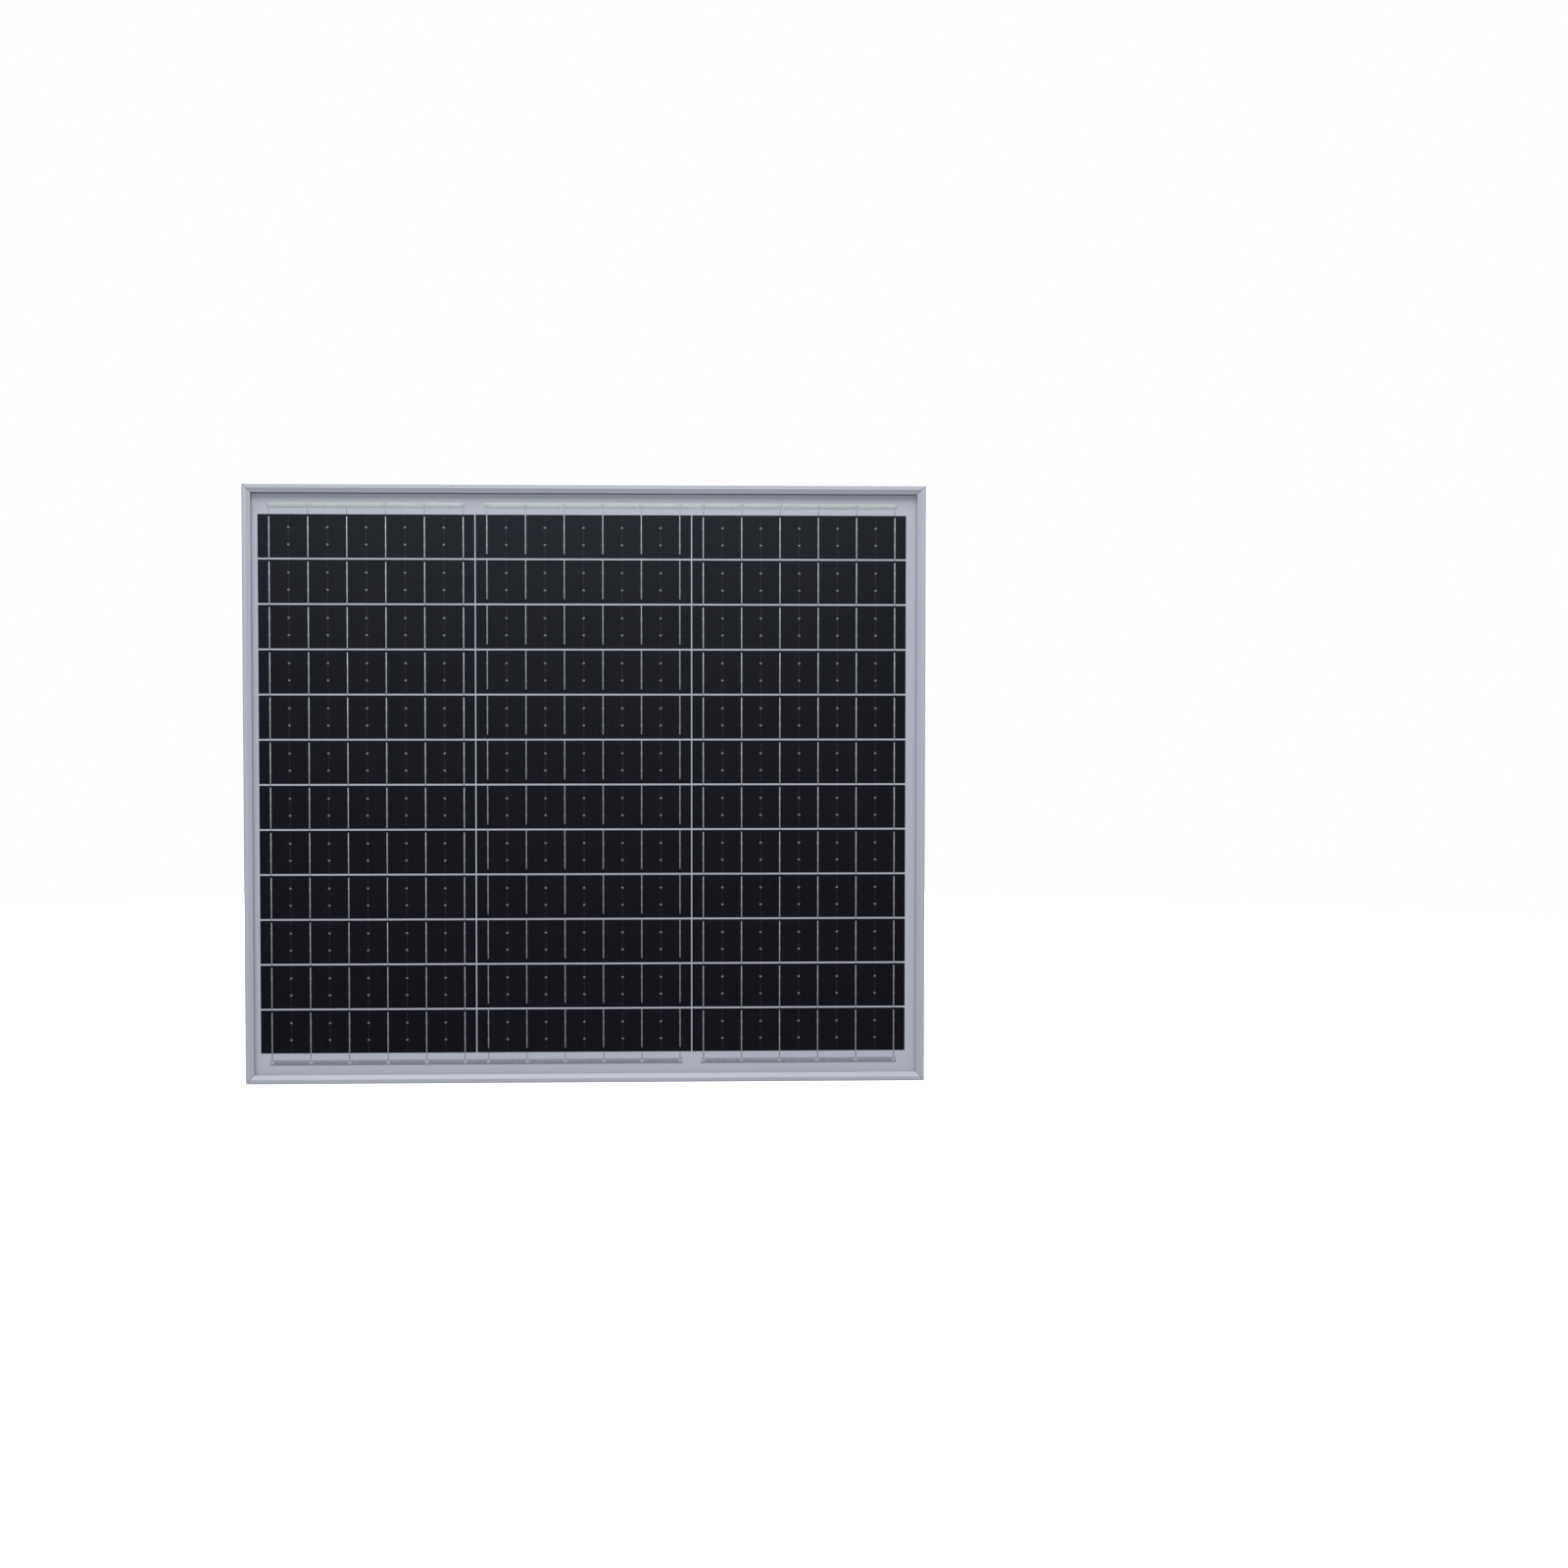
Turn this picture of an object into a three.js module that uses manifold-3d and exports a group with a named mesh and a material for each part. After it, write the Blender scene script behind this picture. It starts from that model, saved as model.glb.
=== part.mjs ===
// A small framed solar panel, in millimetres: +X to the right and +Z up when its glass is looked at,
// and +Y out of its back. The origin is the centre of the plane that its rear flanges lie in.
// Along Y the glass side is at -FRAME_DEPTH and the rear flanges end at 0.
import * as THREE from "three";
import { mergeVertices } from "three/addons/utils/BufferGeometryUtils.js";
import Module from "manifold-3d";

const wasm = await Module();
wasm.setup();

// Panel
const PANEL_WIDTH = 580;
const PANEL_HEIGHT = 510;
const FRAME_DEPTH = 25;

// Frame rail section, measured inward from the rail's outer face and along Y
const WALL = 1.4;
const LIP_WIDTH = 7.2;
const LIP_FLAT = 3.3;
const LIP_UNDERSIDE_Y = -23.4;
const SHELF_TOP_Y = -17.2;
const SHELF_UNDERSIDE_Y = -16.0;
const CHAMBER_END = 8.0;
const INNER_WALL_END = 9.0;
const FLANGE_WIDTH = 18;
const FLANGE_TOP_Y = -WALL;
const EDGE_ROUND = 0.8;
const MITRE_GAP = 0.3;

// Holes in the rear flange
const DRAIN_SLOT = { length: 9, width: 2.8, inset: 3.5, fromCorner: [60, 120] };
const MOUNT_SLOT = { length: 9, width: 5.5, inset: 12.1, spacing: 250 };
const CORNER_HOLE = { size: 9, inset: 9.8 };
const CUT_DEPTH = 2.0;

// Corner keys, pressed into the chambers of two rails
const KEY_LEG = 34;
const FIT_GAP = 0.3;

// Laminate: the layers from the glass to the backsheet, a hair apart
const LAYER_GAP = 0.05;
const LAMINATE_INSET = 2.9;
const GLASS_FRONT_Y = -23.1;
const GLASS_THICKNESS = 3.2;
const ENCAPSULANT_THICKNESS = 0.5;
const CELL_LAYER_THICKNESS = 0.4;
const LEAD_THICKNESS = 0.3;
const BACKSHEET_THICKNESS = 0.4;
const GASKET_INSET = 1.6;
const GASKET_REACH = 6.8;

// Cells: three strings, each a column of strips cut from one wide cell
const STRINGS = ["left", "middle", "right"];
const ROWS = 12;
const CELL_WIDTH = 183;
const CELL_HEIGHT = 36.9;
const ROW_GAP = 1.5;
const STRING_GAP = 1.0;
const ARRAY_X = -1.9;
const RIBBONS = 6;
const RIBBON_WIDTH = 0.85;
const RIBBON_PITCH = 32.8;
const BUS_WIDTH = 4.5;
const BUS_CLEARANCE = 5.75;
const BUS_OVERHANG = 2.0;
const LEAD_WIDTH = 4.0;
const LEAD_X = 110;

// Junction box, on the backsheet near the top rail
const BOX_SIZE = 70;
const BOX_RADIUS = 10;
const BOX_WALL = 2.0;
const BOX_Z = 182;
const PAD_THICKNESS = 0.6;
const BASE_FLOOR = 1.8;
const BASE_RIM_Y = -8.3;
const LID_RIM_Y = -8.0;
const LID_TOP_Y = -1.6;
const LID_BEVEL = 2.5;
const LUG_LENGTH = 14;
const LUG_SPACING = 32;
const LUG_DROP = 1.4;

// Lid hinge, along Z beside the box
const HINGE_X = 37.6;
const HINGE_Y = -8.15;
const HINGE_BAR_RADIUS = 1.0;
const HOOK_INNER_RADIUS = 1.25;
const HOOK_OUTER_RADIUS = 2.25;
const HOOK_LENGTH = 8.2;
const ARM_LENGTH = 2.5;
const HOOK_ROOT_Y = -13;

// Lid latch, on the far side from the hinge
const LATCH_REACH = 41.2;
const LATCH_THICKNESS = 4.0;
const LATCH_WINDOW = { near: 36.0, far: 39.6, length: 9.2 };
const PRONG_GAP = 0.4;
const PRONG_TIP_Y = -3.6;
const LEDGE_Y = [-13.5, -10.5];

// Terminals and what is on them
const TERMINAL = { x: 14, width: 9, low: 170, high: 196, yLow: -13.4, yHigh: -12.4 };
const SCREW = { z: 177, headRadius: 2.8, headHeight: 1.8, shankRadius: 1.1, tipY: -14.9 };
const SCREW_BOSS_RADIUS = 3.5;
const LEAD_HOLE_Z = 194;
const DIODE = { z: 186.5, y: -11.5, radius: 2.6, length: 9.5, leadRadius: 0.6, span: 30 };
const WIRE_DIAMETER = 2.2;

// Strain relief and cable
const RELIEF = { width: 16, taper: 0.5, length: 13.7, round: 3, yLow: -16.4, yHigh: -8.8 };
const RELIEF_NECK = { half: 4.5, flangeHalf: 6.5, flangeLength: 1.7, yLow: -14.7, yHigh: -10.5 };
const RELIEF_FLANGE_HIGH_Y = -9.8;
const CABLE_DIAMETER = 5.0;
const CABLE_Y = -12.6;
const BOX_LOW_Z = BOX_Z - BOX_SIZE / 2;

// The cable's two free stretches, as points along the middle of the cable
const LEAD_ROUTE = [
  [0, -12.6, 132.7],
  [-0.2, -12.6, 127],
  [-0.6, -12.9, 120],
  [-0.9, -13.6, 112],
  [-0.9, -14.1, 104],
  [-0.4, -14.4, 96],
  [0.9, -14.5, 87],
  [2.7, -14.4, 78],
  [4.6, -14.1, 69],
  [6.3, -13.4, 60],
  [7.7, -12.3, 52],
  [8.9, -10.9, 44],
  [9.8, -9.4, 37],
  [10.3, -8.5, 33],
  [10.6, -7.8, 29.5],
];
const PLUG_ROUTE = [
  [-42.0, -13.9, 41.6],
  [-44.6, -13.5, 43.3],
  [-47.2, -13.0, 44.9],
  [-49.9, -12.7, 46.6],
  [-52.4, -12.6, 48.3],
];

// Hank: the rest of the cable, folded to and fro and tied at its waist
const HANK = { x: 12.3, z: 12.3, turn: -135, yLow: -16.0, yHigh: -3.0, waist: 7.5, neck: 3.5 };
const HANK_TIPS = [
  { x: 49, z: 14.5, radius: 9 },
  { x: 49, z: -3, radius: 9.2 },
  { x: -50, z: -6, radius: 9 },
  { x: -51, z: 6, radius: 9 },
];
const TIE = { width: 2.4, thickness: 1.0, head: 5.0, headHeight: 4.0, tail: 55 };

// Plug: a moulded grip, a metal sleeve and the insulator at its tip
const PLUG_START = [-52.7, -12.6, 48.4];
const PLUG_DIRECTION = new THREE.Vector3(-0.813, 0, 0.582).normalize();
const PLUG_RELIEF_LENGTH = 12;
const PLUG_BODY_LENGTH = 17;
const PLUG_BODY_RADIUS = 4.75;
const PLUG_BARREL_RADIUS = 2.75;
const PLUG_BARREL_LENGTH = 9.5;
const PLUG_TIP_LENGTH = 2.0;

// Label on the backsheet
const LABEL = { x: 2.5, z: 64, width: 80, height: 59, thickness: 0.2 };

const ROUND_SEGMENTS = 16;
const TUBE_SIDES = 8;

const finish = {
  aluminium: new THREE.MeshStandardMaterial({ color: 0xc3c8cf, roughness: 0.38, metalness: 0.7 }),
  keyMetal: new THREE.MeshStandardMaterial({ color: 0x9a9da2, roughness: 0.55, metalness: 0.8 }),
  seal: new THREE.MeshStandardMaterial({ color: 0xdcdedf, roughness: 0.7, metalness: 0 }),
  glass: new THREE.MeshStandardMaterial({ color: 0xdfe8ea, roughness: 0.08, metalness: 0, opacity: 0.3 }),
  encapsulant: new THREE.MeshStandardMaterial({ color: 0xe8ecee, roughness: 0.3, metalness: 0 }),
  cell: new THREE.MeshStandardMaterial({ color: 0x10151d, roughness: 0.25, metalness: 0.2 }),
  ribbon: new THREE.MeshStandardMaterial({ color: 0xb9bcc0, roughness: 0.35, metalness: 0.9 }),
  backsheet: new THREE.MeshStandardMaterial({ color: 0xc6cad6, roughness: 0.55, metalness: 0 }),
  label: new THREE.MeshStandardMaterial({ color: 0x9aa1b3, roughness: 0.4, metalness: 0.1 }),
  boxPlastic: new THREE.MeshStandardMaterial({ color: 0x15181d, roughness: 0.5, metalness: 0 }),
  rubber: new THREE.MeshStandardMaterial({ color: 0x1c1c1e, roughness: 0.8, metalness: 0 }),
  pad: new THREE.MeshStandardMaterial({ color: 0xd8dadb, roughness: 0.8, metalness: 0 }),
  brass: new THREE.MeshStandardMaterial({ color: 0xb98f45, roughness: 0.35, metalness: 1 }),
  steel: new THREE.MeshStandardMaterial({ color: 0xa8abb0, roughness: 0.3, metalness: 1 }),
  red: new THREE.MeshStandardMaterial({ color: 0x9c1f1c, roughness: 0.5, metalness: 0 }),
  cable: new THREE.MeshStandardMaterial({ color: 0x17191e, roughness: 0.45, metalness: 0 }),
};

// ---- Helpers ----

/** A closed geometry as a solid that can be joined and cut. */
function solid(geometry) {
  const bare = geometry.index ? geometry.toNonIndexed() : geometry.clone();
  bare.deleteAttribute("normal");
  bare.deleteAttribute("uv");
  const merged = mergeVertices(bare, 1e-4);
  const vertProperties = new Float32Array(merged.attributes.position.array);
  const triVerts = new Uint32Array(merged.index.array);
  return new wasm.Manifold(new wasm.Mesh({ numProp: 3, vertProperties, triVerts }));
}

/** A solid's faces as a geometry. */
function geometryOf(body) {
  const mesh = body.getMesh();
  const geometry = new THREE.BufferGeometry();
  geometry.setAttribute("position", new THREE.BufferAttribute(mesh.vertProperties, 3));
  geometry.setIndex(new THREE.BufferAttribute(mesh.triVerts, 1));
  geometry.computeVertexNormals();
  return geometry;
}

/** One piece from some that overlap. */
function join(geometries) {
  return geometries.map(solid).reduce((whole, next) => whole.add(next));
}

/** A solid less some cutters. */
function cut(body, cutters) {
  return cutters.map(solid).reduce((left, next) => left.subtract(next), body);
}

/** The box between two corners. */
function block(x, y, z) {
  const box = new THREE.BoxGeometry(x[1] - x[0], y[1] - y[0], z[1] - z[0]);
  return box.translate((x[0] + x[1]) / 2, (y[0] + y[1]) / 2, (z[0] + z[1]) / 2);
}

/** A plate: an outline in the X-Z plane, from one depth along Y to another. */
function plate(outline, yLow, yHigh, curveSegments = 4) {
  const options = { depth: yHigh - yLow, bevelEnabled: false, curveSegments };
  return new THREE.ExtrudeGeometry(outline, options).rotateX(Math.PI / 2).translate(0, yHigh, 0);
}

/** A rectangle with round corners, centred on a point. */
function roundedRectangle(width, height, radius, x = 0, z = 0) {
  const outline = new THREE.Shape();
  const right = width / 2 - radius;
  const top = height / 2 - radius;
  outline.absarc(x + right, z + top, radius, 0, Math.PI / 2);
  outline.absarc(x - right, z + top, radius, Math.PI / 2, Math.PI);
  outline.absarc(x - right, z - top, radius, Math.PI, Math.PI * 1.5);
  outline.absarc(x + right, z - top, radius, Math.PI * 1.5, Math.PI * 2);
  outline.closePath();
  return outline;
}

/** A plain rectangle, as a shape or as a path for a hole. */
function rectangle(Kind, xLow, xHigh, zLow, zHigh) {
  const corners = [
    [xLow, zLow],
    [xHigh, zLow],
    [xHigh, zHigh],
    [xLow, zHigh],
  ];
  return new Kind(corners.map(([x, z]) => new THREE.Vector2(x, z)));
}

/** A rectangle about the panel's middle, some way in from its outer edges. */
function panelRectangle(Kind, inset) {
  const x = PANEL_WIDTH / 2 - inset;
  const z = PANEL_HEIGHT / 2 - inset;
  return rectangle(Kind, -x, x, -z, z);
}

/** A round bar from one point to another along Y or Z. */
function bar(radius, length, axis, position) {
  const rod = new THREE.CylinderGeometry(radius, radius, length, ROUND_SEGMENTS);
  if (axis === "z") {
    rod.rotateX(Math.PI / 2);
  }
  return rod.translate(...position);
}

/** A round tube along a smooth curve through some points. */
function tube(points, diameter, steps) {
  const curve = new THREE.CatmullRomCurve3(points.map((point) => new THREE.Vector3(...point)));
  const section = new THREE.Shape();
  section.absarc(0, 0, diameter / 2, 0, Math.PI * 2);
  const options = { steps, curveSegments: TUBE_SIDES, bevelEnabled: false, extrudePath: curve };
  return new THREE.ExtrudeGeometry(section, options);
}

const panel = new THREE.Group();

/** Adds one named piece to a group, and gives it back. */
function add(name, shape, material, group = panel) {
  const geometry = shape.isBufferGeometry ? shape : geometryOf(shape);
  const piece = new THREE.Mesh(geometry, material);
  piece.name = name;
  group.add(piece);
  return piece;
}

// ---- Frame ----

/** The rail's section: X inward from its outer face, Y as in the panel. */
function railSection() {
  const outline = new THREE.Shape();
  outline.moveTo(0, 0);
  outline.lineTo(FLANGE_WIDTH, 0);
  outline.lineTo(FLANGE_WIDTH, FLANGE_TOP_Y);
  outline.lineTo(INNER_WALL_END, FLANGE_TOP_Y);
  outline.lineTo(INNER_WALL_END, SHELF_TOP_Y);
  outline.lineTo(WALL, SHELF_TOP_Y);
  outline.lineTo(WALL, LIP_UNDERSIDE_Y);
  outline.lineTo(LIP_WIDTH, LIP_UNDERSIDE_Y);
  outline.lineTo(LIP_WIDTH, -FRAME_DEPTH + 1.0);
  outline.lineTo(LIP_FLAT, -FRAME_DEPTH);
  outline.absarc(EDGE_ROUND, -FRAME_DEPTH + EDGE_ROUND, EDGE_ROUND, -Math.PI / 2, -Math.PI, true);
  outline.closePath();
  outline.holes.push(rectangle(THREE.Path, WALL, CHAMBER_END, SHELF_UNDERSIDE_Y, FLANGE_TOP_Y));
  return outline;
}

/** The rail's section drawn out along Z, with both ends mitred at 45 degrees. */
function mitredRail(length) {
  const rail = new THREE.ExtrudeGeometry(railSection(), { depth: 1, bevelEnabled: false, curveSegments: 3 });
  const position = rail.attributes.position;
  for (let i = 0; i < position.count; i += 1) {
    const side = position.getZ(i) > 0.5 ? 1 : -1;
    position.setZ(i, side * (length / 2 - position.getX(i) - MITRE_GAP / Math.SQRT2));
  }
  return solid(rail);
}

/** A slot with round ends, long along Z, cut through the rear flange. */
function flangeSlot(slot, z) {
  const outline = roundedRectangle(slot.width, slot.length, slot.width / 2 - 0.01, slot.inset, z);
  return plate(outline, -CUT_DEPTH, 1);
}

/** The square hole that the mitre runs through, at one end of a rail. */
function cornerHole(length, side) {
  const near = CORNER_HOLE.inset - CORNER_HOLE.size / 2;
  const far = CORNER_HOLE.inset + CORNER_HOLE.size / 2;
  const ends = [side * (length / 2 - far), side * (length / 2 - near)].sort((a, b) => a - b);
  return block([near, far], [-CUT_DEPTH, 1], ends);
}

function frameRail(length, hasMountSlots) {
  const cutters = [];
  for (const side of [-1, 1]) {
    cutters.push(cornerHole(length, side));
    for (const distance of DRAIN_SLOT.fromCorner) {
      cutters.push(flangeSlot(DRAIN_SLOT, side * (length / 2 - distance)));
    }
    if (hasMountSlots) {
      cutters.push(flangeSlot(MOUNT_SLOT, (side * MOUNT_SLOT.spacing) / 2));
    }
  }
  return cut(mitredRail(length), cutters);
}

/** An L in the X-Z plane, with its outer corner towards the frame's corner. */
function cornerKey() {
  const near = WALL + FIT_GAP;
  const far = CHAMBER_END - FIT_GAP;
  const corners = [
    [near, near],
    [KEY_LEG, near],
    [KEY_LEG, far],
    [far, far],
    [far, KEY_LEG],
    [near, KEY_LEG],
  ];
  const outline = new THREE.Shape(corners.map(([x, z]) => new THREE.Vector2(x, z)));
  return plate(outline, SHELF_UNDERSIDE_Y + FIT_GAP, FLANGE_TOP_Y - FIT_GAP);
}

function addFrame() {
  const sides = [
    { name: "left", length: PANEL_HEIGHT, quarter: 0, place: [-PANEL_WIDTH / 2, 0, 0] },
    { name: "top", length: PANEL_WIDTH, quarter: 1, place: [0, 0, PANEL_HEIGHT / 2] },
    { name: "right", length: PANEL_HEIGHT, quarter: 2, place: [PANEL_WIDTH / 2, 0, 0] },
    { name: "bottom", length: PANEL_WIDTH, quarter: 3, place: [0, 0, -PANEL_HEIGHT / 2] },
  ];
  const corners = ["bottom_left", "top_left", "top_right", "bottom_right"];
  sides.forEach((side, index) => {
    const hasMountSlots = side.length === PANEL_HEIGHT;
    const rail = add(`frame_rail_${side.name}`, frameRail(side.length, hasMountSlots), finish.aluminium);
    rail.rotation.y = (side.quarter * Math.PI) / 2;
    rail.position.set(...side.place);
    const key = add(`corner_key_${corners[index]}`, cornerKey(), finish.keyMetal);
    key.rotation.y = rail.rotation.y;
    const right = index >= 2 ? 1 : -1;
    const top = index === 1 || index === 2 ? 1 : -1;
    key.position.set((right * PANEL_WIDTH) / 2, 0, (top * PANEL_HEIGHT) / 2);
  });
}

// ---- Laminate ----

/** Depths of the layers, worked out from the glass backwards. */
function layerDepths() {
  const thicknesses = {
    glass: GLASS_THICKNESS,
    frontEncapsulant: ENCAPSULANT_THICKNESS,
    cells: CELL_LAYER_THICKNESS,
    rearEncapsulant: ENCAPSULANT_THICKNESS,
    leads: LEAD_THICKNESS,
    backsheet: BACKSHEET_THICKNESS,
  };
  const depths = {};
  let y = GLASS_FRONT_Y;
  for (const [name, thickness] of Object.entries(thicknesses)) {
    depths[name] = [y, y + thickness];
    y += thickness + LAYER_GAP;
  }
  return depths;
}

const LAYERS = layerDepths();
const BACKSHEET_REAR_Y = LAYERS.backsheet[1];
const PAD_REAR_Y = BACKSHEET_REAR_Y + LAYER_GAP + PAD_THICKNESS;
const BASE_LOW_Y = PAD_REAR_Y + LAYER_GAP;
const BASE_FLOOR_Y = BASE_LOW_Y + BASE_FLOOR;
const ARRAY_HEIGHT = ROWS * CELL_HEIGHT + (ROWS - 1) * ROW_GAP;
const STRING_PITCH = CELL_WIDTH + STRING_GAP;
const BUS_Z = ARRAY_HEIGHT / 2 + BUS_CLEARANCE + BUS_WIDTH / 2;

/** A layer with the two slots that the output leads come out through. */
function withLeadHoles(layer, yLow, yHigh) {
  const reach = LEAD_WIDTH / 2 + FIT_GAP;
  const span = [LEAD_HOLE_Z - reach, LEAD_HOLE_Z + reach];
  const cutters = [-1, 1].map((side) => {
    const x = side * TERMINAL.x;
    return block([x - reach, x + reach], [yLow - 0.2, yHigh + 0.2], span);
  });
  return cut(layer, cutters);
}

function ribbonOffsets() {
  return Array.from({ length: RIBBONS }, (_, i) => (i - (RIBBONS - 1) / 2) * RIBBON_PITCH);
}

/** The middle of a string. The array is laid up a little to the left of the panel's middle. */
function stringX(i) {
  return ARRAY_X + (i - 1) * STRING_PITCH;
}

/** A string of cells as one plate, with windows where the ribbons cross the gaps between cells. */
function cellString(x) {
  const left = x - CELL_WIDTH / 2;
  const right = x + CELL_WIDTH / 2;
  const depth = LAYERS.cells;
  const edges = [left - 1];
  for (const offset of ribbonOffsets()) {
    edges.push(x + offset - RIBBON_WIDTH / 2, x + offset + RIBBON_WIDTH / 2);
  }
  edges.push(right + 1);
  const windows = [];
  for (let row = 1; row < ROWS; row += 1) {
    const low = -ARRAY_HEIGHT / 2 + row * (CELL_HEIGHT + ROW_GAP) - ROW_GAP;
    for (let i = 0; i < edges.length; i += 2) {
      windows.push(block([edges[i], edges[i + 1]], [depth[0] - 1, depth[1] + 1], [low, low + ROW_GAP]));
    }
  }
  return cut(solid(block([left, right], depth, [-ARRAY_HEIGHT / 2, ARRAY_HEIGHT / 2])), windows);
}

/** A flat bus ribbon that joins the ends of one string, or of two neighbours. */
function busRibbon(firstString, lastString, z) {
  const reach = ((RIBBONS - 1) / 2) * RIBBON_PITCH + BUS_OVERHANG;
  const left = stringX(firstString) - reach;
  const right = stringX(lastString) + reach;
  return block([left, right], LAYERS.cells, [z - BUS_WIDTH / 2, z + BUS_WIDTH / 2]);
}

/** A flat lead behind the cells, from a bus to the junction box, where it turns out to its terminal. */
function outputLead(side, busZ) {
  const half = LEAD_WIDTH / 2;
  const crossZ = LEAD_HOLE_Z + 12;
  const span = (a, b) => [Math.min(a, b) - half, Math.max(a, b) + half];
  const pieces = [
    block(span(side * LEAD_X, side * LEAD_X), LAYERS.leads, span(busZ, crossZ)),
    block(span(side * LEAD_X, side * TERMINAL.x), LAYERS.leads, span(crossZ, crossZ)),
    block(span(side * TERMINAL.x, side * TERMINAL.x), LAYERS.leads, span(crossZ, LEAD_HOLE_Z)),
  ];
  const riser = [LEAD_HOLE_Z + half - LEAD_THICKNESS * 2, LEAD_HOLE_Z + half];
  const toTerminal = [LAYERS.leads[0], TERMINAL.yLow - FIT_GAP];
  pieces.push(block(span(side * TERMINAL.x, side * TERMINAL.x), toTerminal, riser));
  return join(pieces);
}

/** A seal with a U section that goes round the laminate's edge. */
function glazingGasket() {
  const depth = [LIP_UNDERSIDE_Y + LAYER_GAP, SHELF_TOP_Y - LAYER_GAP];
  const outer = plate(panelRectangle(THREE.Shape, GASKET_INSET), ...depth);
  const channel = [GLASS_FRONT_Y - LAYER_GAP, BACKSHEET_REAR_Y + LAYER_GAP];
  const inner = plate(panelRectangle(THREE.Shape, LAMINATE_INSET - LAYER_GAP * 2), ...channel);
  const through = plate(panelRectangle(THREE.Shape, GASKET_REACH), -FRAME_DEPTH, 0);
  return cut(solid(outer), [inner, through]);
}

function addLaminate() {
  const sheet = () => panelRectangle(THREE.Shape, LAMINATE_INSET);
  add("glazing_gasket", glazingGasket(), finish.seal);
  add("front_glass", plate(sheet(), ...LAYERS.glass), finish.glass);
  add("front_encapsulant", plate(sheet(), ...LAYERS.frontEncapsulant), finish.encapsulant);
  STRINGS.forEach((name, i) => {
    add(`cell_string_${name}`, cellString(stringX(i)), finish.cell);
  });
  add("bus_ribbon_top_left", busRibbon(0, 0, BUS_Z), finish.ribbon);
  add("bus_ribbon_top_link", busRibbon(1, 2, BUS_Z), finish.ribbon);
  add("bus_ribbon_bottom_link", busRibbon(0, 1, -BUS_Z), finish.ribbon);
  add("bus_ribbon_bottom_right", busRibbon(2, 2, -BUS_Z), finish.ribbon);
  add("rear_encapsulant", plate(sheet(), ...LAYERS.rearEncapsulant), finish.encapsulant);
  add("output_lead_positive", outputLead(-1, BUS_Z), finish.ribbon);
  add("output_lead_negative", outputLead(1, -BUS_Z), finish.ribbon);
  const backsheet = solid(plate(sheet(), ...LAYERS.backsheet));
  add("backsheet", withLeadHoles(backsheet, ...LAYERS.backsheet), finish.backsheet);
}

function addLabel() {
  const x = [LABEL.x - LABEL.width / 2, LABEL.x + LABEL.width / 2];
  const z = [LABEL.z - LABEL.height / 2, LABEL.z + LABEL.height / 2];
  const low = BACKSHEET_REAR_Y + LAYER_GAP;
  add("rating_label", block(x, [low, low + LABEL.thickness], z), finish.label);
}

// ---- Junction box ----

function lugHeights() {
  return [-1, 1].map((side) => BOX_Z - LUG_DROP + (side * LUG_SPACING) / 2);
}

function boxOutline(inset) {
  const size = BOX_SIZE - 2 * inset;
  return roundedRectangle(size, size, BOX_RADIUS - inset, 0, BOX_Z);
}

/** The base's half of one hinge: an open hook round the lid's bar. */
function hingeHook(z) {
  const middle = [HINGE_X, HINGE_Y, z];
  const ring = bar(HOOK_OUTER_RADIUS, HOOK_LENGTH, "z", middle);
  const span = [z - HOOK_LENGTH / 2, z + HOOK_LENGTH / 2];
  const rootY = [HOOK_ROOT_Y, HINGE_Y - HOOK_INNER_RADIUS];
  const root = block([BOX_SIZE / 2 - BOX_WALL / 2, HINGE_X], rootY, span);
  const bore = bar(HOOK_INNER_RADIUS, HOOK_LENGTH + 2, "z", middle);
  const mouth = block([HINGE_X, HINGE_X + 4], [HINGE_Y, HINGE_Y + 4], [span[0] - 1, span[1] + 1]);
  return cut(join([ring, root]), [bore, mouth]);
}

/** The lid's half of one hinge: two arms with a bar between them. */
function hingeBar(z) {
  const pieces = [bar(HINGE_BAR_RADIUS, LUG_LENGTH, "z", [HINGE_X, HINGE_Y, z])];
  for (const side of [-1, 1]) {
    const armZ = z + (side * (LUG_LENGTH - ARM_LENGTH)) / 2;
    const span = [armZ - ARM_LENGTH / 2, armZ + ARM_LENGTH / 2];
    pieces.push(bar(HOOK_OUTER_RADIUS - 0.05, ARM_LENGTH, "z", [HINGE_X, HINGE_Y, armZ]));
    pieces.push(block([BOX_SIZE / 2 - BOX_WALL / 2, HINGE_X], [HINGE_Y + 0.3, HINGE_Y + 3.6], span));
  }
  return join(pieces);
}

/** The lid's half of one latch: a loop that stands out from its side. */
function latchLoop(z) {
  const y = [LID_RIM_Y, LID_RIM_Y + LATCH_THICKNESS];
  const x = [-LATCH_REACH, -BOX_SIZE / 2 + BOX_WALL / 2];
  const loop = block(x, y, [z - LUG_LENGTH / 2, z + LUG_LENGTH / 2]);
  const windowX = [-LATCH_WINDOW.far, -LATCH_WINDOW.near];
  const windowZ = [z - LATCH_WINDOW.length / 2, z + LATCH_WINDOW.length / 2];
  const opening = block(windowX, [y[0] - 1, y[1] + 1], windowZ);
  return cut(solid(loop), [opening]);
}

/** The base's half of one latch: a prong that stands in the lid's loop. */
function latchProng(z) {
  const x = [-LATCH_WINDOW.far + PRONG_GAP, -LATCH_WINDOW.near - PRONG_GAP];
  const span = [z - LATCH_WINDOW.length / 2 + PRONG_GAP, z + LATCH_WINDOW.length / 2 - PRONG_GAP];
  const ledge = block([x[0], -BOX_SIZE / 2 + BOX_WALL / 2], LEDGE_Y, span);
  return join([ledge, block(x, [LEDGE_Y[1] - 0.5, PRONG_TIP_Y], span)]);
}

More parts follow.
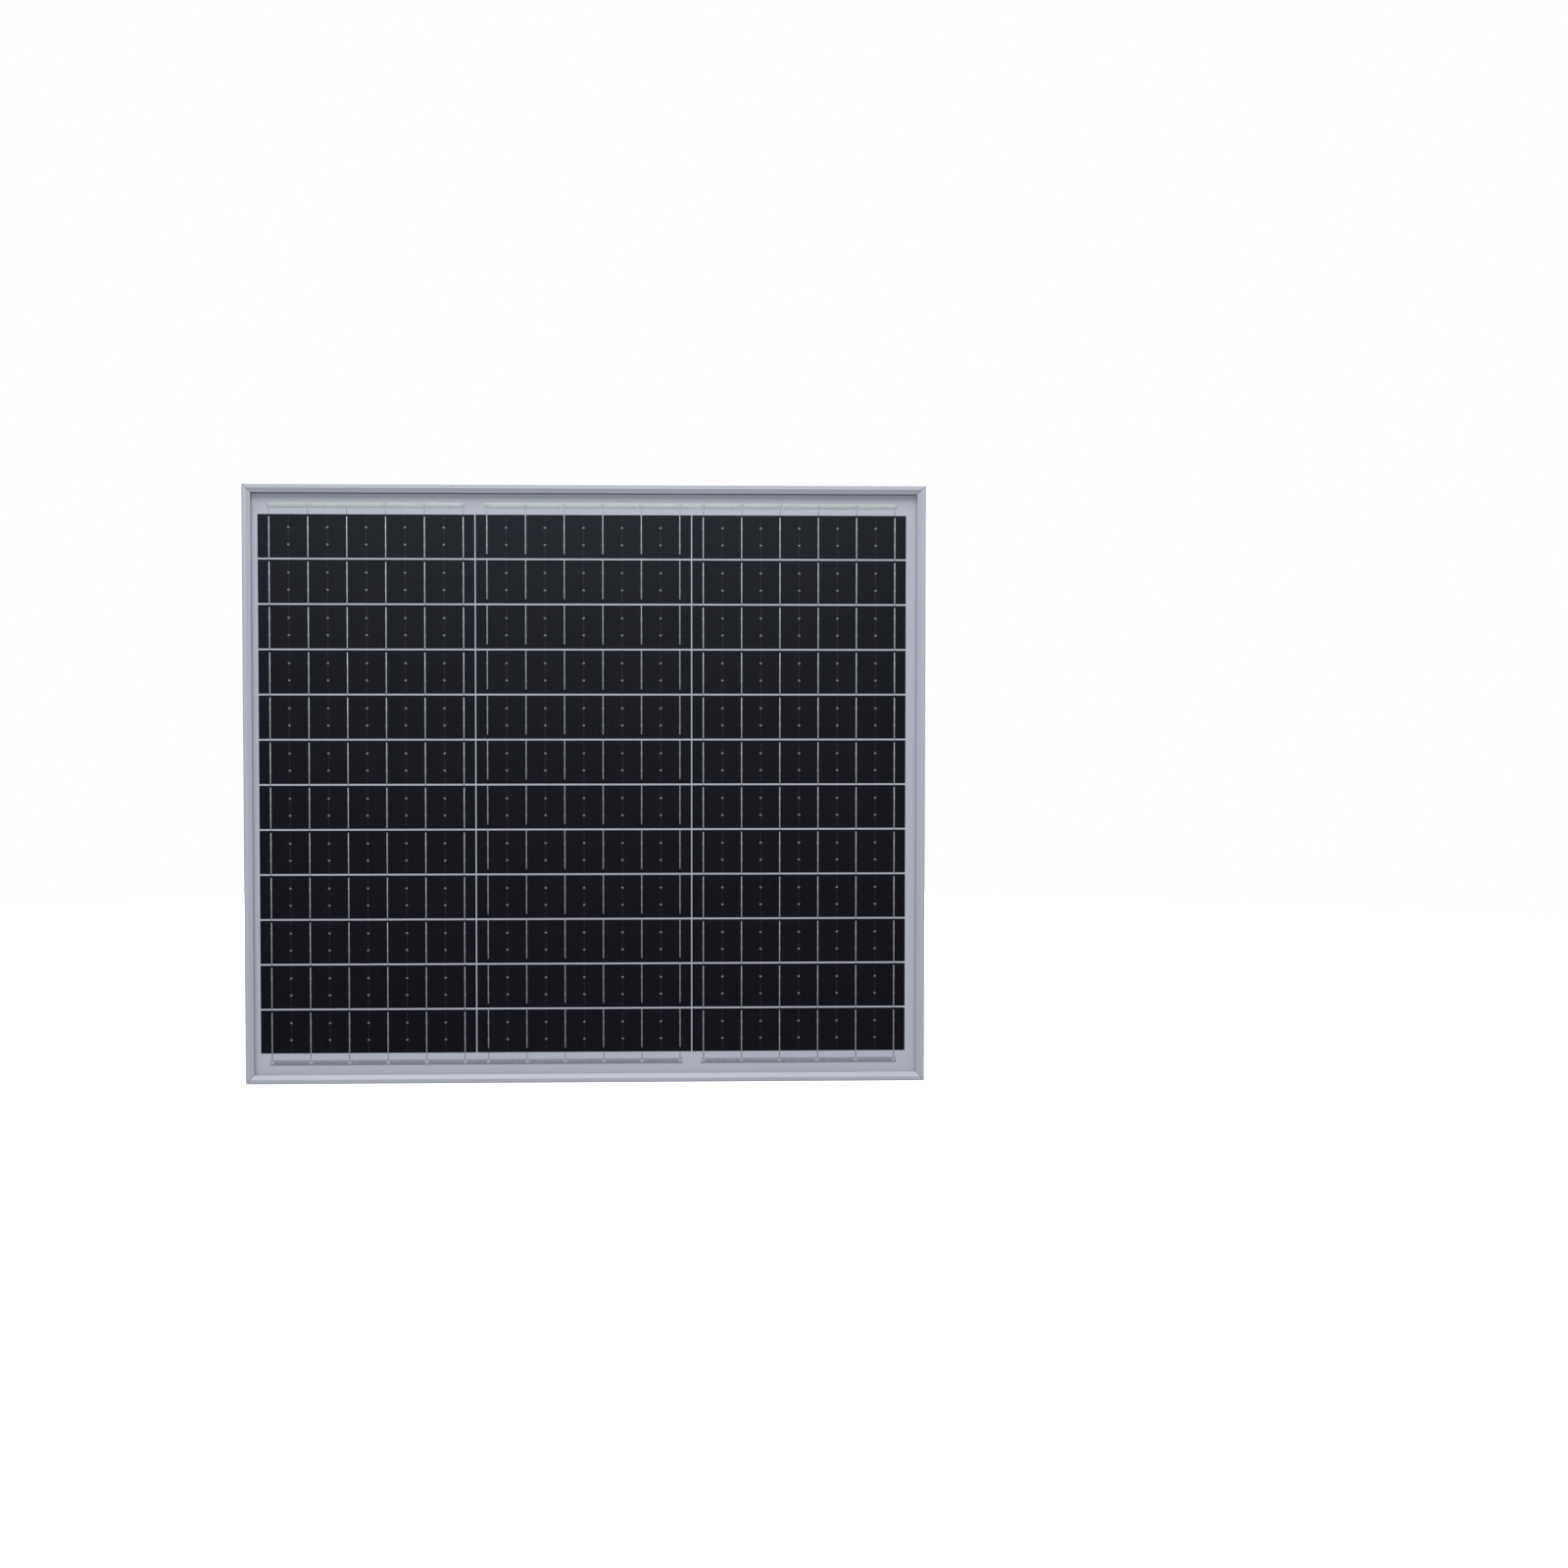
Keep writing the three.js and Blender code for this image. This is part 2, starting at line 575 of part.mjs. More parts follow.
function boxBase() {
  let base = solid(plate(boxOutline(0), BASE_LOW_Y, BASE_RIM_Y, 5));
  const cavity = plate(boxOutline(BOX_WALL), BASE_FLOOR_Y, 0, 5);
  const holeHalf = RELIEF_NECK.half + FIT_GAP;
  const holeY = [BASE_FLOOR_Y + 0.05, RELIEF_NECK.yHigh + FIT_GAP];
  const cableHole = block([-holeHalf, holeHalf], holeY, [BOX_LOW_Z - 1, BOX_LOW_Z + BOX_WALL + 1]);
  base = cut(base, [cavity, cableHole]);
  for (const side of [-1, 1]) {
    const bossHeight = TERMINAL.yLow - FIT_GAP - BASE_FLOOR_Y + 0.5;
    const middle = TERMINAL.yLow - FIT_GAP - bossHeight / 2;
    const boss = bar(SCREW_BOSS_RADIUS, bossHeight, "y", [side * TERMINAL.x, middle, SCREW.z]);
    base = base.add(solid(boss));
    const pilotMiddle = [side * TERMINAL.x, BASE_FLOOR_Y + 1.05, SCREW.z];
    const pilot = bar(SCREW.shankRadius + FIT_GAP, 2, "y", pilotMiddle);
    base = cut(base, [pilot]);
  }
  base = withLeadHoles(base, BASE_LOW_Y, BASE_FLOOR_Y);
  for (const z of lugHeights()) {
    base = base.add(hingeHook(z)).add(latchProng(z));
  }
  return base;
}

function boxLid() {
  const inset = boxOutline(LID_BEVEL);
  const depth = LID_TOP_Y - LID_RIM_Y;
  const options = {
    depth,
    bevelSize: LID_BEVEL,
    bevelThickness: LID_BEVEL,
    bevelSegments: 2,
    curveSegments: 5,
  };
  const shell = new THREE.ExtrudeGeometry(inset, options);
  shell.rotateX(Math.PI / 2).translate(0, LID_TOP_Y - LID_BEVEL, 0);
  const below = block([-50, 50], [-30, LID_RIM_Y], [BOX_Z - 50, BOX_Z + 50]);
  const cavity = plate(boxOutline(BOX_WALL), LID_RIM_Y - 1, LID_TOP_Y - BOX_WALL - 0.5, 5);
  let lid = cut(solid(shell), [below, cavity]);
  for (const z of lugHeights()) {
    lid = lid.add(hingeBar(z)).add(latchLoop(z));
  }
  return lid;
}

/** The ring that seals the lid against the base's inside wall. */
function lidGasket() {
  const ring = boxOutline(BOX_WALL + FIT_GAP);
  ring.holes.push(new THREE.Path(boxOutline(BOX_WALL + FIT_GAP + 2).getPoints(5)));
  return plate(ring, BASE_RIM_Y - 1.2, LID_RIM_Y + 2.2, 5);
}

function adhesivePad() {
  const depth = [BACKSHEET_REAR_Y + LAYER_GAP, PAD_REAR_Y];
  return withLeadHoles(solid(plate(boxOutline(3), ...depth, 5)), ...depth);
}

function terminal(side) {
  const x = side * TERMINAL.x;
  const half = TERMINAL.width / 2;
  const outline = rectangle(THREE.Shape, x - half, x + half, TERMINAL.low, TERMINAL.high);
  const hole = new THREE.Path();
  hole.absarc(x, SCREW.z, SCREW.shankRadius + 0.6, 0, Math.PI * 2);
  outline.holes.push(hole);
  return plate(outline, TERMINAL.yLow, TERMINAL.yHigh, 12);
}

/** A pan-head screw, its head over the terminal. */
function terminalScrew() {
  const headLow = TERMINAL.yHigh + FIT_GAP;
  const profile = [
    [0, SCREW.tipY],
    [SCREW.shankRadius, SCREW.tipY],
    [SCREW.shankRadius, headLow],
    [SCREW.headRadius, headLow],
    [SCREW.headRadius, headLow + SCREW.headHeight * 0.6],
    [SCREW.headRadius * 0.7, headLow + SCREW.headHeight],
    [0, headLow + SCREW.headHeight],
  ];
  return new THREE.LatheGeometry(profile.map(([r, y]) => new THREE.Vector2(r, y)), ROUND_SEGMENTS);
}

/** The bypass diode's body with a lead at each end, along Y. */
function bypassDiode() {
  const profile = [
    [0, -DIODE.span / 2],
    [DIODE.leadRadius, -DIODE.span / 2],
    [DIODE.leadRadius, -DIODE.length / 2],
    [DIODE.radius, -DIODE.length / 2],
    [DIODE.radius, DIODE.length / 2],
    [DIODE.leadRadius, DIODE.length / 2],
    [DIODE.leadRadius, DIODE.span / 2],
    [0, DIODE.span / 2],
  ];
  return new THREE.LatheGeometry(profile.map(([r, y]) => new THREE.Vector2(r, y)), 12);
}

function addJunctionBox() {
  add("box_adhesive_pad", adhesivePad(), finish.pad);
  add("junction_box_base", boxBase(), finish.boxPlastic);
  add("junction_box_lid", boxLid(), finish.boxPlastic);
  add("lid_gasket", lidGasket(), finish.rubber);
  const diode = add("bypass_diode", bypassDiode(), finish.boxPlastic);
  diode.rotation.z = Math.PI / 2;
  diode.position.set(0, DIODE.y, DIODE.z);
  for (const [name, side, colour] of [["positive", -1, finish.red], ["negative", 1, finish.cable]]) {
    add(`terminal_${name}`, terminal(side), finish.brass);
    const screw = add(`terminal_screw_${name}`, terminalScrew(), finish.steel);
    screw.position.set(side * TERMINAL.x, 0, SCREW.z);
    const wire = [
      [side * 1.6, CABLE_Y, BOX_LOW_Z + 4.3],
      [side * 2.4, CABLE_Y, BOX_LOW_Z + 9],
      [side * 6.5, CABLE_Y, BOX_LOW_Z + 13],
      [side * 12.3, CABLE_Y, BOX_LOW_Z + 17],
      [side * TERMINAL.x, CABLE_Y, TERMINAL.low - 3],
      [side * TERMINAL.x, CABLE_Y, TERMINAL.low - 2 * FIT_GAP],
    ];
    add(`wire_${name}`, tube(wire, WIRE_DIAMETER, 10), colour);
  }
}

// ---- Cable ----

/** The moulded strain relief: a tapered block outside the wall, a neck through it and a flange inside. */
function strainRelief() {
  const top = BOX_LOW_Z - FIT_GAP;
  const low = top - RELIEF.length;
  const half = RELIEF.width / 2;
  const narrow = half - RELIEF.taper;
  const outline = new THREE.Shape();
  outline.moveTo(half, top);
  outline.lineTo(-half, top);
  outline.absarc(-narrow + RELIEF.round, low + RELIEF.round, RELIEF.round, Math.PI, Math.PI * 1.5);
  outline.absarc(narrow - RELIEF.round, low + RELIEF.round, RELIEF.round, Math.PI * 1.5, Math.PI * 2);
  outline.closePath();
  const innerFace = BOX_LOW_Z + BOX_WALL + FIT_GAP;
  const neck = RELIEF_NECK;
  const flangeZ = [innerFace, innerFace + neck.flangeLength];
  return join([
    plate(outline, RELIEF.yLow, RELIEF.yHigh, 5),
    block([-neck.half, neck.half], [neck.yLow, neck.yHigh], [top - 1, innerFace + 1]),
    block([-neck.flangeHalf, neck.flangeHalf], [neck.yLow, RELIEF_FLANGE_HIGH_Y], flangeZ),
  ]);
}

/** The hank's outline: round tips at both ends, drawn in to a waist. */
function hankOutline() {
  const outline = new THREE.Shape();
  const [nearRight, farRight, farLeft, nearLeft] = HANK_TIPS;
  outline.moveTo(-HANK.neck, HANK.waist);
  outline.lineTo(HANK.neck, HANK.waist);
  outline.absarc(nearRight.x, nearRight.z, nearRight.radius, Math.PI * 0.6, 0, true);
  outline.absarc(farRight.x, farRight.z, farRight.radius, 0, -Math.PI * 0.45, true);
  outline.lineTo(HANK.neck, -HANK.waist);
  outline.lineTo(-HANK.neck, -HANK.waist);
  outline.absarc(farLeft.x, farLeft.z, farLeft.radius, -Math.PI * 0.45, -Math.PI, true);
  outline.absarc(nearLeft.x, nearLeft.z, nearLeft.radius, Math.PI, Math.PI * 0.45, true);
  outline.closePath();
  return outline;
}

/** The tie: a strap round the waist, its head and a straight tail. */
function cableTie() {
  const inner = { z: HANK.waist + FIT_GAP, yLow: HANK.yLow - FIT_GAP, yHigh: HANK.yHigh + FIT_GAP };
  const outerZ = inner.z + TIE.thickness;
  const x = [-TIE.width / 2, TIE.width / 2];
  const strap = block(x, [inner.yLow - TIE.thickness, inner.yHigh + TIE.thickness], [-outerZ, outerZ]);
  const space = block([-5, 5], [inner.yLow, inner.yHigh], [-inner.z, inner.z]);
  const headX = [-TIE.head / 2, TIE.head / 2];
  const headY = [inner.yHigh - TIE.headHeight, inner.yHigh + TIE.thickness];
  const head = block(headX, headY, [-outerZ - TIE.head + 1, -outerZ + 0.2]);
  const tailY = [inner.yHigh - TIE.thickness, inner.yHigh];
  const tail = block(x, tailY, [-outerZ - TIE.tail, -outerZ - 1]);
  return cut(join([strap, head, tail]), [space]);
}

function latheAlongPlug(points) {
  return new THREE.LatheGeometry(points.map(([r, y]) => new THREE.Vector2(r, y)), ROUND_SEGMENTS);
}

/** The plug's pieces, along Y from the cable's end. */
function plugProfiles() {
  const bodyEnd = PLUG_RELIEF_LENGTH + PLUG_BODY_LENGTH;
  const barrelLow = bodyEnd + 0.05;
  const barrelHigh = barrelLow + PLUG_BARREL_LENGTH;
  const tipLow = barrelHigh + 0.05;
  const grip = [
    [0, 0],
    [3.2, 0],
    [3.9, PLUG_RELIEF_LENGTH],
    [PLUG_BODY_RADIUS, PLUG_RELIEF_LENGTH + 0.6],
    [PLUG_BODY_RADIUS, bodyEnd - 0.6],
    [PLUG_BODY_RADIUS - 0.6, bodyEnd],
    [0, bodyEnd],
  ];
  const barrel = [
    [0, barrelLow],
    [PLUG_BARREL_RADIUS, barrelLow],
    [PLUG_BARREL_RADIUS, barrelHigh],
    [0, barrelHigh],
  ];
  const tip = [
    [0, tipLow],
    [PLUG_BARREL_RADIUS, tipLow],
    [PLUG_BARREL_RADIUS - 0.4, tipLow + PLUG_TIP_LENGTH],
    [1.2, tipLow + PLUG_TIP_LENGTH],
    [1.2, tipLow + 0.5],
    [0, tipLow + 0.5],
  ];
  return { grip, barrel, tip };
}

function addCable() {
  add("strain_relief", strainRelief(), finish.rubber);
  add("cable_lead", tube(LEAD_ROUTE, CABLE_DIAMETER, 12), finish.cable);
  const hank = new THREE.Group();
  hank.position.set(HANK.x, 0, HANK.z);
  hank.rotation.y = THREE.MathUtils.degToRad(HANK.turn);
  panel.add(hank);
  add("cable_hank", plate(hankOutline(), HANK.yLow, HANK.yHigh, 6), finish.cable, hank);
  add("cable_tie", cableTie(), finish.cable, hank);
  add("cable_plug_lead", tube(PLUG_ROUTE, CABLE_DIAMETER, 3), finish.cable);
  const plug = new THREE.Group();
  plug.position.set(...PLUG_START);
  plug.quaternion.setFromUnitVectors(new THREE.Vector3(0, 1, 0), PLUG_DIRECTION);
  panel.add(plug);
  const profiles = plugProfiles();
  add("plug_grip", latheAlongPlug(profiles.grip), finish.cable, plug);
  add("plug_barrel", latheAlongPlug(profiles.barrel), finish.steel, plug);
  add("plug_tip", latheAlongPlug(profiles.tip), finish.cable, plug);
}

addFrame();
addLaminate();
addLabel();
addJunctionBox();
addCable();

export default panel;
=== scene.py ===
"""The looks of a small framed solar panel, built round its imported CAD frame.

Everything is in metres in the frame's own axes: +X to the right and +Z up when the glass is
looked at, and +Y out of the back. Sizes written in millimetres are turned into metres by mm().
"""

import math

import bmesh
import bpy
import numpy as np
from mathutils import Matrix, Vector


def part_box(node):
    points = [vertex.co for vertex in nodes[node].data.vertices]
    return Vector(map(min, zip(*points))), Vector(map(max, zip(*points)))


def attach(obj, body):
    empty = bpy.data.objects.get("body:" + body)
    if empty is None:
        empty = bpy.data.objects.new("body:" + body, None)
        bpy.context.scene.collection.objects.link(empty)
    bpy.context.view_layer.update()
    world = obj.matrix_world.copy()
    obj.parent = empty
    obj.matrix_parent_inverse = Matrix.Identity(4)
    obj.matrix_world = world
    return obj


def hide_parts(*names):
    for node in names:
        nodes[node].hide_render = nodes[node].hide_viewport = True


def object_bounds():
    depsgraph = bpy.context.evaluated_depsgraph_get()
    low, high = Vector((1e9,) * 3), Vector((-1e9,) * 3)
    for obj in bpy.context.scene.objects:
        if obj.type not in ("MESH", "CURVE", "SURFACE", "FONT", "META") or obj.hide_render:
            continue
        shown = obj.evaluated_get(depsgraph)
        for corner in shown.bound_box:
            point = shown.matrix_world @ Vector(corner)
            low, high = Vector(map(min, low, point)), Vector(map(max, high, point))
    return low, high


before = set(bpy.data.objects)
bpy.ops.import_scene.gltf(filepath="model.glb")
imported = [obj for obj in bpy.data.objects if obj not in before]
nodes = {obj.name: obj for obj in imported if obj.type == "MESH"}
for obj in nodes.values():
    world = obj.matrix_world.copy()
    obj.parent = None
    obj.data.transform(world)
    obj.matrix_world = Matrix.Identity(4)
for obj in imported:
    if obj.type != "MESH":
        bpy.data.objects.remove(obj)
cad_low, cad_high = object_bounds()

# Mesh pieces: faces that meet at less than this many degrees are shaded smooth
SMOOTH_ANGLE = 32

# Cells
ROWS = 12
STRINGS = ("left", "middle", "right")
RIBBONS = 6
CELL_HEIGHT = 36.9
ROW_GAP = 1.5
RIBBON_PITCH = 32.8
RIBBON_WIDTH = 0.85
RIBBON_INSET_DOWN = 1.7
RIBBON_INSET_UP = 3.5
FINGER_PITCH = 1.35
WAFER_THICKNESS = 0.14
WAFER_BACK_GAP = 0.02
PAD_DEPTHS = (11.0, 25.6)
PAD_HALF_WIDTH = 0.95

# Cable
CABLE_DIAMETER = 5.0
LEAD_ROUTE = (
    (0, -12.6, 132.7),
    (-0.2, -12.6, 127),
    (-0.6, -12.9, 120),
    (-0.9, -13.6, 112),
    (-0.9, -14.1, 104),
    (-0.4, -14.4, 96),
    (0.9, -14.5, 87),
    (2.7, -14.4, 78),
    (4.6, -14.1, 69),
    (6.3, -13.4, 60),
    (7.7, -12.3, 52),
    (8.9, -10.9, 44),
    (9.8, -9.4, 37),
    (10.3, -8.5, 33),
    (10.6, -7.8, 29.5),
)
PLUG_ROUTE = (
    (-42.0, -13.9, 41.6),
    (-44.6, -13.5, 43.3),
    (-47.2, -13.0, 44.9),
    (-49.9, -12.7, 46.6),
    (-52.4, -12.6, 48.3),
)
PLUG_START = (-52.7, -12.6, 48.4)
PLUG_DIRECTION = Vector((-0.813, 0, 0.582)).normalized()

# Hank: its own axes are "along" its length, "across" it, and the frame's Y
HANK_MIDDLE = Vector((12.3, 0, 12.3))
HANK_ALONG = Vector((-1, 0, 1)).normalized()
HANK_ACROSS = Vector((1, 0, 1)).normalized()
WAIST_HALF = 7.5
HANK_FLOOR_Y = -14.7
HANK_TOP_Y = -5.5
ROUTE_SPACING = 2.4
SETTLE_ROUNDS = 800

# Label: its table, in millimetres from the film's left and top edges as seen from behind
LABEL_TABLE = (3.4, 3.6, 78.6, 57.8)
LABEL_ROWS = 7
LABEL_FIRST_ROW = 14.6
LABEL_ROW_PITCH = 6.0
LABEL_COLUMN = 55.4

# Junction box
BOX_MIDDLE_Z = 182.0
BOX_HALF = 35
BOX_RADIUS = 10
BOX_WALL = 2
LID_RIM_Y = -8.0
HINGE = Vector((37.6, -8.15, 180.6))
LUG_HEIGHTS = (164.6, 196.6)


def mm(*values):
    """Millimetres as metres: one number, or a vector."""
    if len(values) == 1 and not hasattr(values[0], "__len__"):
        return values[0] * 0.001
    return Vector(values[0] if len(values) == 1 else values) * 0.001


def box_mm(node):
    """A node's lowest and highest corners in millimetres."""
    low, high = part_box(node)
    return low * 1000, high * 1000


# ---- Camera and light ----


def add_camera():
    data = bpy.data.cameras.new("camera")
    data.lens = 70
    camera = bpy.data.objects.new("camera", data)
    bpy.context.scene.collection.objects.link(camera)
    camera.location = (0.0362, -2.6273, 0.1243)
    camera.rotation_euler = [math.radians(angle) for angle in (87.279, -0.064, -2.918)]
    bpy.context.scene.camera = camera


def add_light(name, place, size, power):
    """A white area light that faces the origin, unseen by the camera."""
    data = bpy.data.lights.new(name, "AREA")
    data.shape = "RECTANGLE"
    data.size, data.size_y = size
    data.energy = power
    light = bpy.data.objects.new(name, data)
    bpy.context.scene.collection.objects.link(light)
    light.visible_camera = False
    light.location = place
    light.rotation_euler = (-Vector(place)).to_track_quat("-Z", "Y").to_euler()


def add_world():
    """A white surround for the camera, and a softer cool one for what it lights."""
    world = bpy.data.worlds.new("studio")
    world.use_nodes = True
    tree = world.node_tree
    tree.nodes.clear()
    seen = tree.nodes.new("ShaderNodeBackground")
    seen.inputs["Color"].default_value = (1, 1, 1, 1)
    lit = tree.nodes.new("ShaderNodeBackground")
    lit.inputs["Color"].default_value = (0.90, 0.94, 1.0, 1)
    lit.inputs["Strength"].default_value = 0.24
    path = tree.nodes.new("ShaderNodeLightPath")
    mix = tree.nodes.new("ShaderNodeMixShader")
    output = tree.nodes.new("ShaderNodeOutputWorld")
    tree.links.new(path.outputs["Is Camera Ray"], mix.inputs[0])
    tree.links.new(lit.outputs[0], mix.inputs[1])
    tree.links.new(seen.outputs[0], mix.inputs[2])
    tree.links.new(mix.outputs[0], output.inputs[0])
    bpy.context.scene.world = world


def add_studio():
    """Large soft lights above the front and the back, and a weaker low one on each side."""
    add_world()
    add_light("front_overhead", (-0.3, -3.2, 4.6), (4.8, 3.6), 290)
    add_light("front_low", (-0.1, -5.0, 0.95), (2.0, 1.1), 60)
    add_light("rear_overhead", (0.4, 3.6, 4.0), (4.8, 3.6), 200)
    add_light("rear_low", (0.3, 5.0, 0.95), (2.4, 1.1), 32)
    floor = floor_disc("floor", 2.0, cad_low.z - mm(0.4), floor_finish())
    floor.visible_diffuse = False
    floor.visible_glossy = False


# ---- Node materials ----


class Finish:
    """A material on one Principled shader, with short calls for the nodes that feed it."""

    def __init__(self, name, colour, roughness, metallic=0.0, **plain):
        self.material = bpy.data.materials.new(name)
        self.material.use_nodes = True
        self.material.diffuse_color = (*colour, 1)
        self.tree = self.material.node_tree
        self.shader = self.tree.nodes["Principled BSDF"]
        self.shader.inputs["Base Color"].default_value = (*colour, 1)
        self.shader.inputs["Roughness"].default_value = roughness
        self.shader.inputs["Metallic"].default_value = metallic
        for socket, value in plain.items():
            self.shader.inputs[socket.replace("_", " ")].default_value = value
        self.colour = colour

    def node(self, kind, sockets=(), **settings):
        made = self.tree.nodes.new(kind)
        for key, value in settings.items():
            setattr(made, key, value)
        for socket, value in dict(sockets).items():
            if isinstance(value, bpy.types.NodeSocket):
                self.tree.links.new(value, made.inputs[socket])
            else:
                made.inputs[socket].default_value = value
        return made

    def place(self, stretch=(1, 1, 1)):
        """The point in the piece's own axes, stretched."""
        here = self.node("ShaderNodeTexCoord").outputs["Object"]
        return self.node("ShaderNodeMapping", {"Vector": here, "Scale": stretch}).outputs[0]

    def noise(self, scale, detail=3.0, stretch=(1, 1, 1)):
        sockets = {"Vector": self.place(stretch), "Scale": scale, "Detail": detail}
        return self.node("ShaderNodeTexNoise", sockets).outputs["Fac"]

    def math(self, operation, a, b=0.0):
        return self.node("ShaderNodeMath", {0: a, 1: b}, operation=operation).outputs[0]

    def spread(self, value, low, high, start=0.3, end=0.7):
        """A value from start to end, spread over low to high."""
        sockets = {"Value": value, "From Min": start, "From Max": end}
        sockets |= {"To Min": low, "To Max": high}
        return self.node("ShaderNodeMapRange", sockets).outputs[0]

    def vary_colour(self, factor, other):
        """Mixes the colour so far with another, by a factor."""
        socket = self.shader.inputs["Base Color"]
        before = socket.links[0].from_socket if socket.links else tuple(socket.default_value)
        mix = self.node("ShaderNodeMix", data_type="RGBA")
        if isinstance(before, tuple):
            mix.inputs[6].default_value = before
        else:
            self.tree.links.new(before, mix.inputs[6])
        self.tree.links.new(factor, mix.inputs[0])
        mix.inputs[7].default_value = (*other, 1)
        self.tree.links.new(mix.outputs[2], socket)

    def vary_roughness(self, value, low, high):
        self.tree.links.new(self.spread(value, low, high), self.shader.inputs["Roughness"])

    def bump(self, height, distance, strength=1.0):
        socket = self.shader.inputs["Normal"]
        sockets = {"Height": height, "Distance": distance, "Strength": strength}
        if socket.links:
            sockets["Normal"] = socket.links[0].from_socket
        made = self.node("ShaderNodeBump", sockets)
        self.tree.links.new(made.outputs[0], socket)


def scaled(colour, share):
    return tuple(channel * share for channel in colour)


def floor_finish():
    finish = Finish("floor", (0.93, 0.94, 0.95), 0.9, Specular_IOR_Level=0.1)
    finish.shader.inputs["Emission Color"].default_value = (1, 1, 1, 1)
    finish.shader.inputs["Emission Strength"].default_value = 0.45
    finish.vary_roughness(finish.noise(6), 0.85, 0.95)
    return finish.material


def anodised(name, along):
    """Satin anodised extrusion: fine die lines along the rail and faint handling marks."""
    colour = (0.455, 0.473, 0.545)
    finish = Finish(name, colour, 0.50, 0.15)
    stretch = (0.02, 1, 1) if along == "x" else (1, 1, 0.02)
    lines = finish.noise(2600, 2.0, stretch)
    finish.vary_colour(finish.spread(lines, 0.0, 0.35), scaled(colour, 0.90))
    patches = finish.noise(14, 4.0)
    finish.vary_colour(finish.spread(patches, 0.0, 0.5), scaled(colour, 0.93))
    finish.vary_roughness(finish.noise(60, 5.0, stretch), 0.36, 0.50)
    finish.bump(lines, mm(0.012), 0.5)
    return finish.material


def cast_metal(name, colour, roughness):
    finish = Finish(name, colour, roughness, 0.9)
    grain = finish.noise(1800, 4.0)
    finish.vary_colour(finish.spread(finish.noise(120), 0.0, 0.5), scaled(colour, 0.8))
    finish.vary_roughness(grain, roughness * 0.85, roughness * 1.2)
    finish.bump(grain, mm(0.03), 0.4)
    return finish.material


def film(name, colour, roughness, grain=0.02):
    """A laminated film: an almost flat sheet with a fine orange peel and faint mottling."""
    finish = Finish(name, colour, roughness)
    finish.vary_colour(finish.spread(finish.noise(9, 5.0), 0.0, 0.5), scaled(colour, 0.955))
    peel = finish.noise(700, 3.0)
    finish.vary_roughness(peel, roughness * 0.9, roughness * 1.1)
    finish.bump(peel, mm(grain), 0.5)
    return finish.material


def moulded(name, colour, roughness, grain_scale=2200, depth=0.02, gloss=0.5):
    """Moulded plastic or rubber with a fine grain, a little dusty in places."""
    finish = Finish(name, colour, roughness, Specular_IOR_Level=gloss)
    grain = finish.noise(grain_scale, 3.0)
    dust = finish.noise(45, 5.0)
    dusty = tuple(channel * 1.4 + 0.001 for channel in colour)
    finish.vary_colour(finish.spread(dust, 0.0, 0.35, 0.45, 0.8), dusty)
    finish.vary_roughness(finish.noise(160, 4.0), roughness * 0.85, roughness * 1.15)
    finish.bump(grain, mm(depth), 0.5)
    return finish.material


def clear_glass():
    """Tempered front glass with an antireflection coat: clear, with a soft weak gloss."""
    material = bpy.data.materials.new("front_glass")
    material.use_nodes = True
    tree = material.node_tree
    tree.nodes.remove(tree.nodes["Principled BSDF"])
    through = tree.nodes.new("ShaderNodeBsdfTransparent")
    through.inputs["Color"].default_value = (0.985, 0.995, 0.992, 1)
    gloss = tree.nodes.new("ShaderNodeBsdfGlossy")
    gloss.inputs["Color"].default_value = (0.72, 0.86, 1.0, 1)
    gloss.inputs["Roughness"].default_value = 0.25
    facing = tree.nodes.new("ShaderNodeLayerWeight")
    facing.inputs["Blend"].default_value = 0.5
    rise = tree.nodes.new("ShaderNodeMath")
    rise.operation = "POWER"
    rise.inputs[1].default_value = 5.0
    share = tree.nodes.new("ShaderNodeMath")
    share.operation = "MULTIPLY_ADD"
    share.inputs[1].default_value = 0.3
    share.inputs[2].default_value = 0.0023
    mix = tree.nodes.new("ShaderNodeMixShader")
    tree.links.new(facing.outputs["Facing"], rise.inputs[0])
    tree.links.new(rise.outputs[0], share.inputs[0])
    tree.links.new(share.outputs[0], mix.inputs[0])
    tree.links.new(through.outputs[0], mix.inputs[1])
    tree.links.new(gloss.outputs[0], mix.inputs[2])
    tree.links.new(mix.outputs[0], tree.nodes["Material Output"].inputs["Surface"])
    return material


def clear_film():
    """Cured encapsulant over the cells, which shows as nothing but a trace of haze."""
    material = bpy.data.materials.new("front_encapsulant")
    material.use_nodes = True
    tree = material.node_tree
    haze = tree.nodes["Principled BSDF"]
    haze.inputs["Base Color"].default_value = (0.8, 0.82, 0.84, 1)
    haze.inputs["Roughness"].default_value = 0.5
    haze.inputs["Alpha"].default_value = 0.002
    return material


def silicon():
    """Near-black textured silicon with fine silver fingers printed across it."""
    colour = (0.0016, 0.0008, 0.0044)
    finish = Finish("silicon", colour, 0.42, Specular_IOR_Level=0.03)
    tone = finish.node("ShaderNodeAttribute", attribute_name="tone").outputs["Fac"]
    finish.vary_colour(finish.spread(tone, 0.0, 1.0, 0.0, 1.0), (0.0024, 0.0016, 0.0058))
    height = finish.node("ShaderNodeSeparateXYZ", {0: finish.place()}).outputs["Z"]
    turns = finish.math("MULTIPLY", height, 1000 / FINGER_PITCH)
    fingers = finish.math("GREATER_THAN", finish.math("FRACT", turns), 0.93)
    finish.vary_colour(finish.math("MULTIPLY", fingers, 0.5), (0.008, 0.009, 0.012))
    finish.vary_roughness(finish.noise(500, 3.0), 0.36, 0.5)
    return finish.material


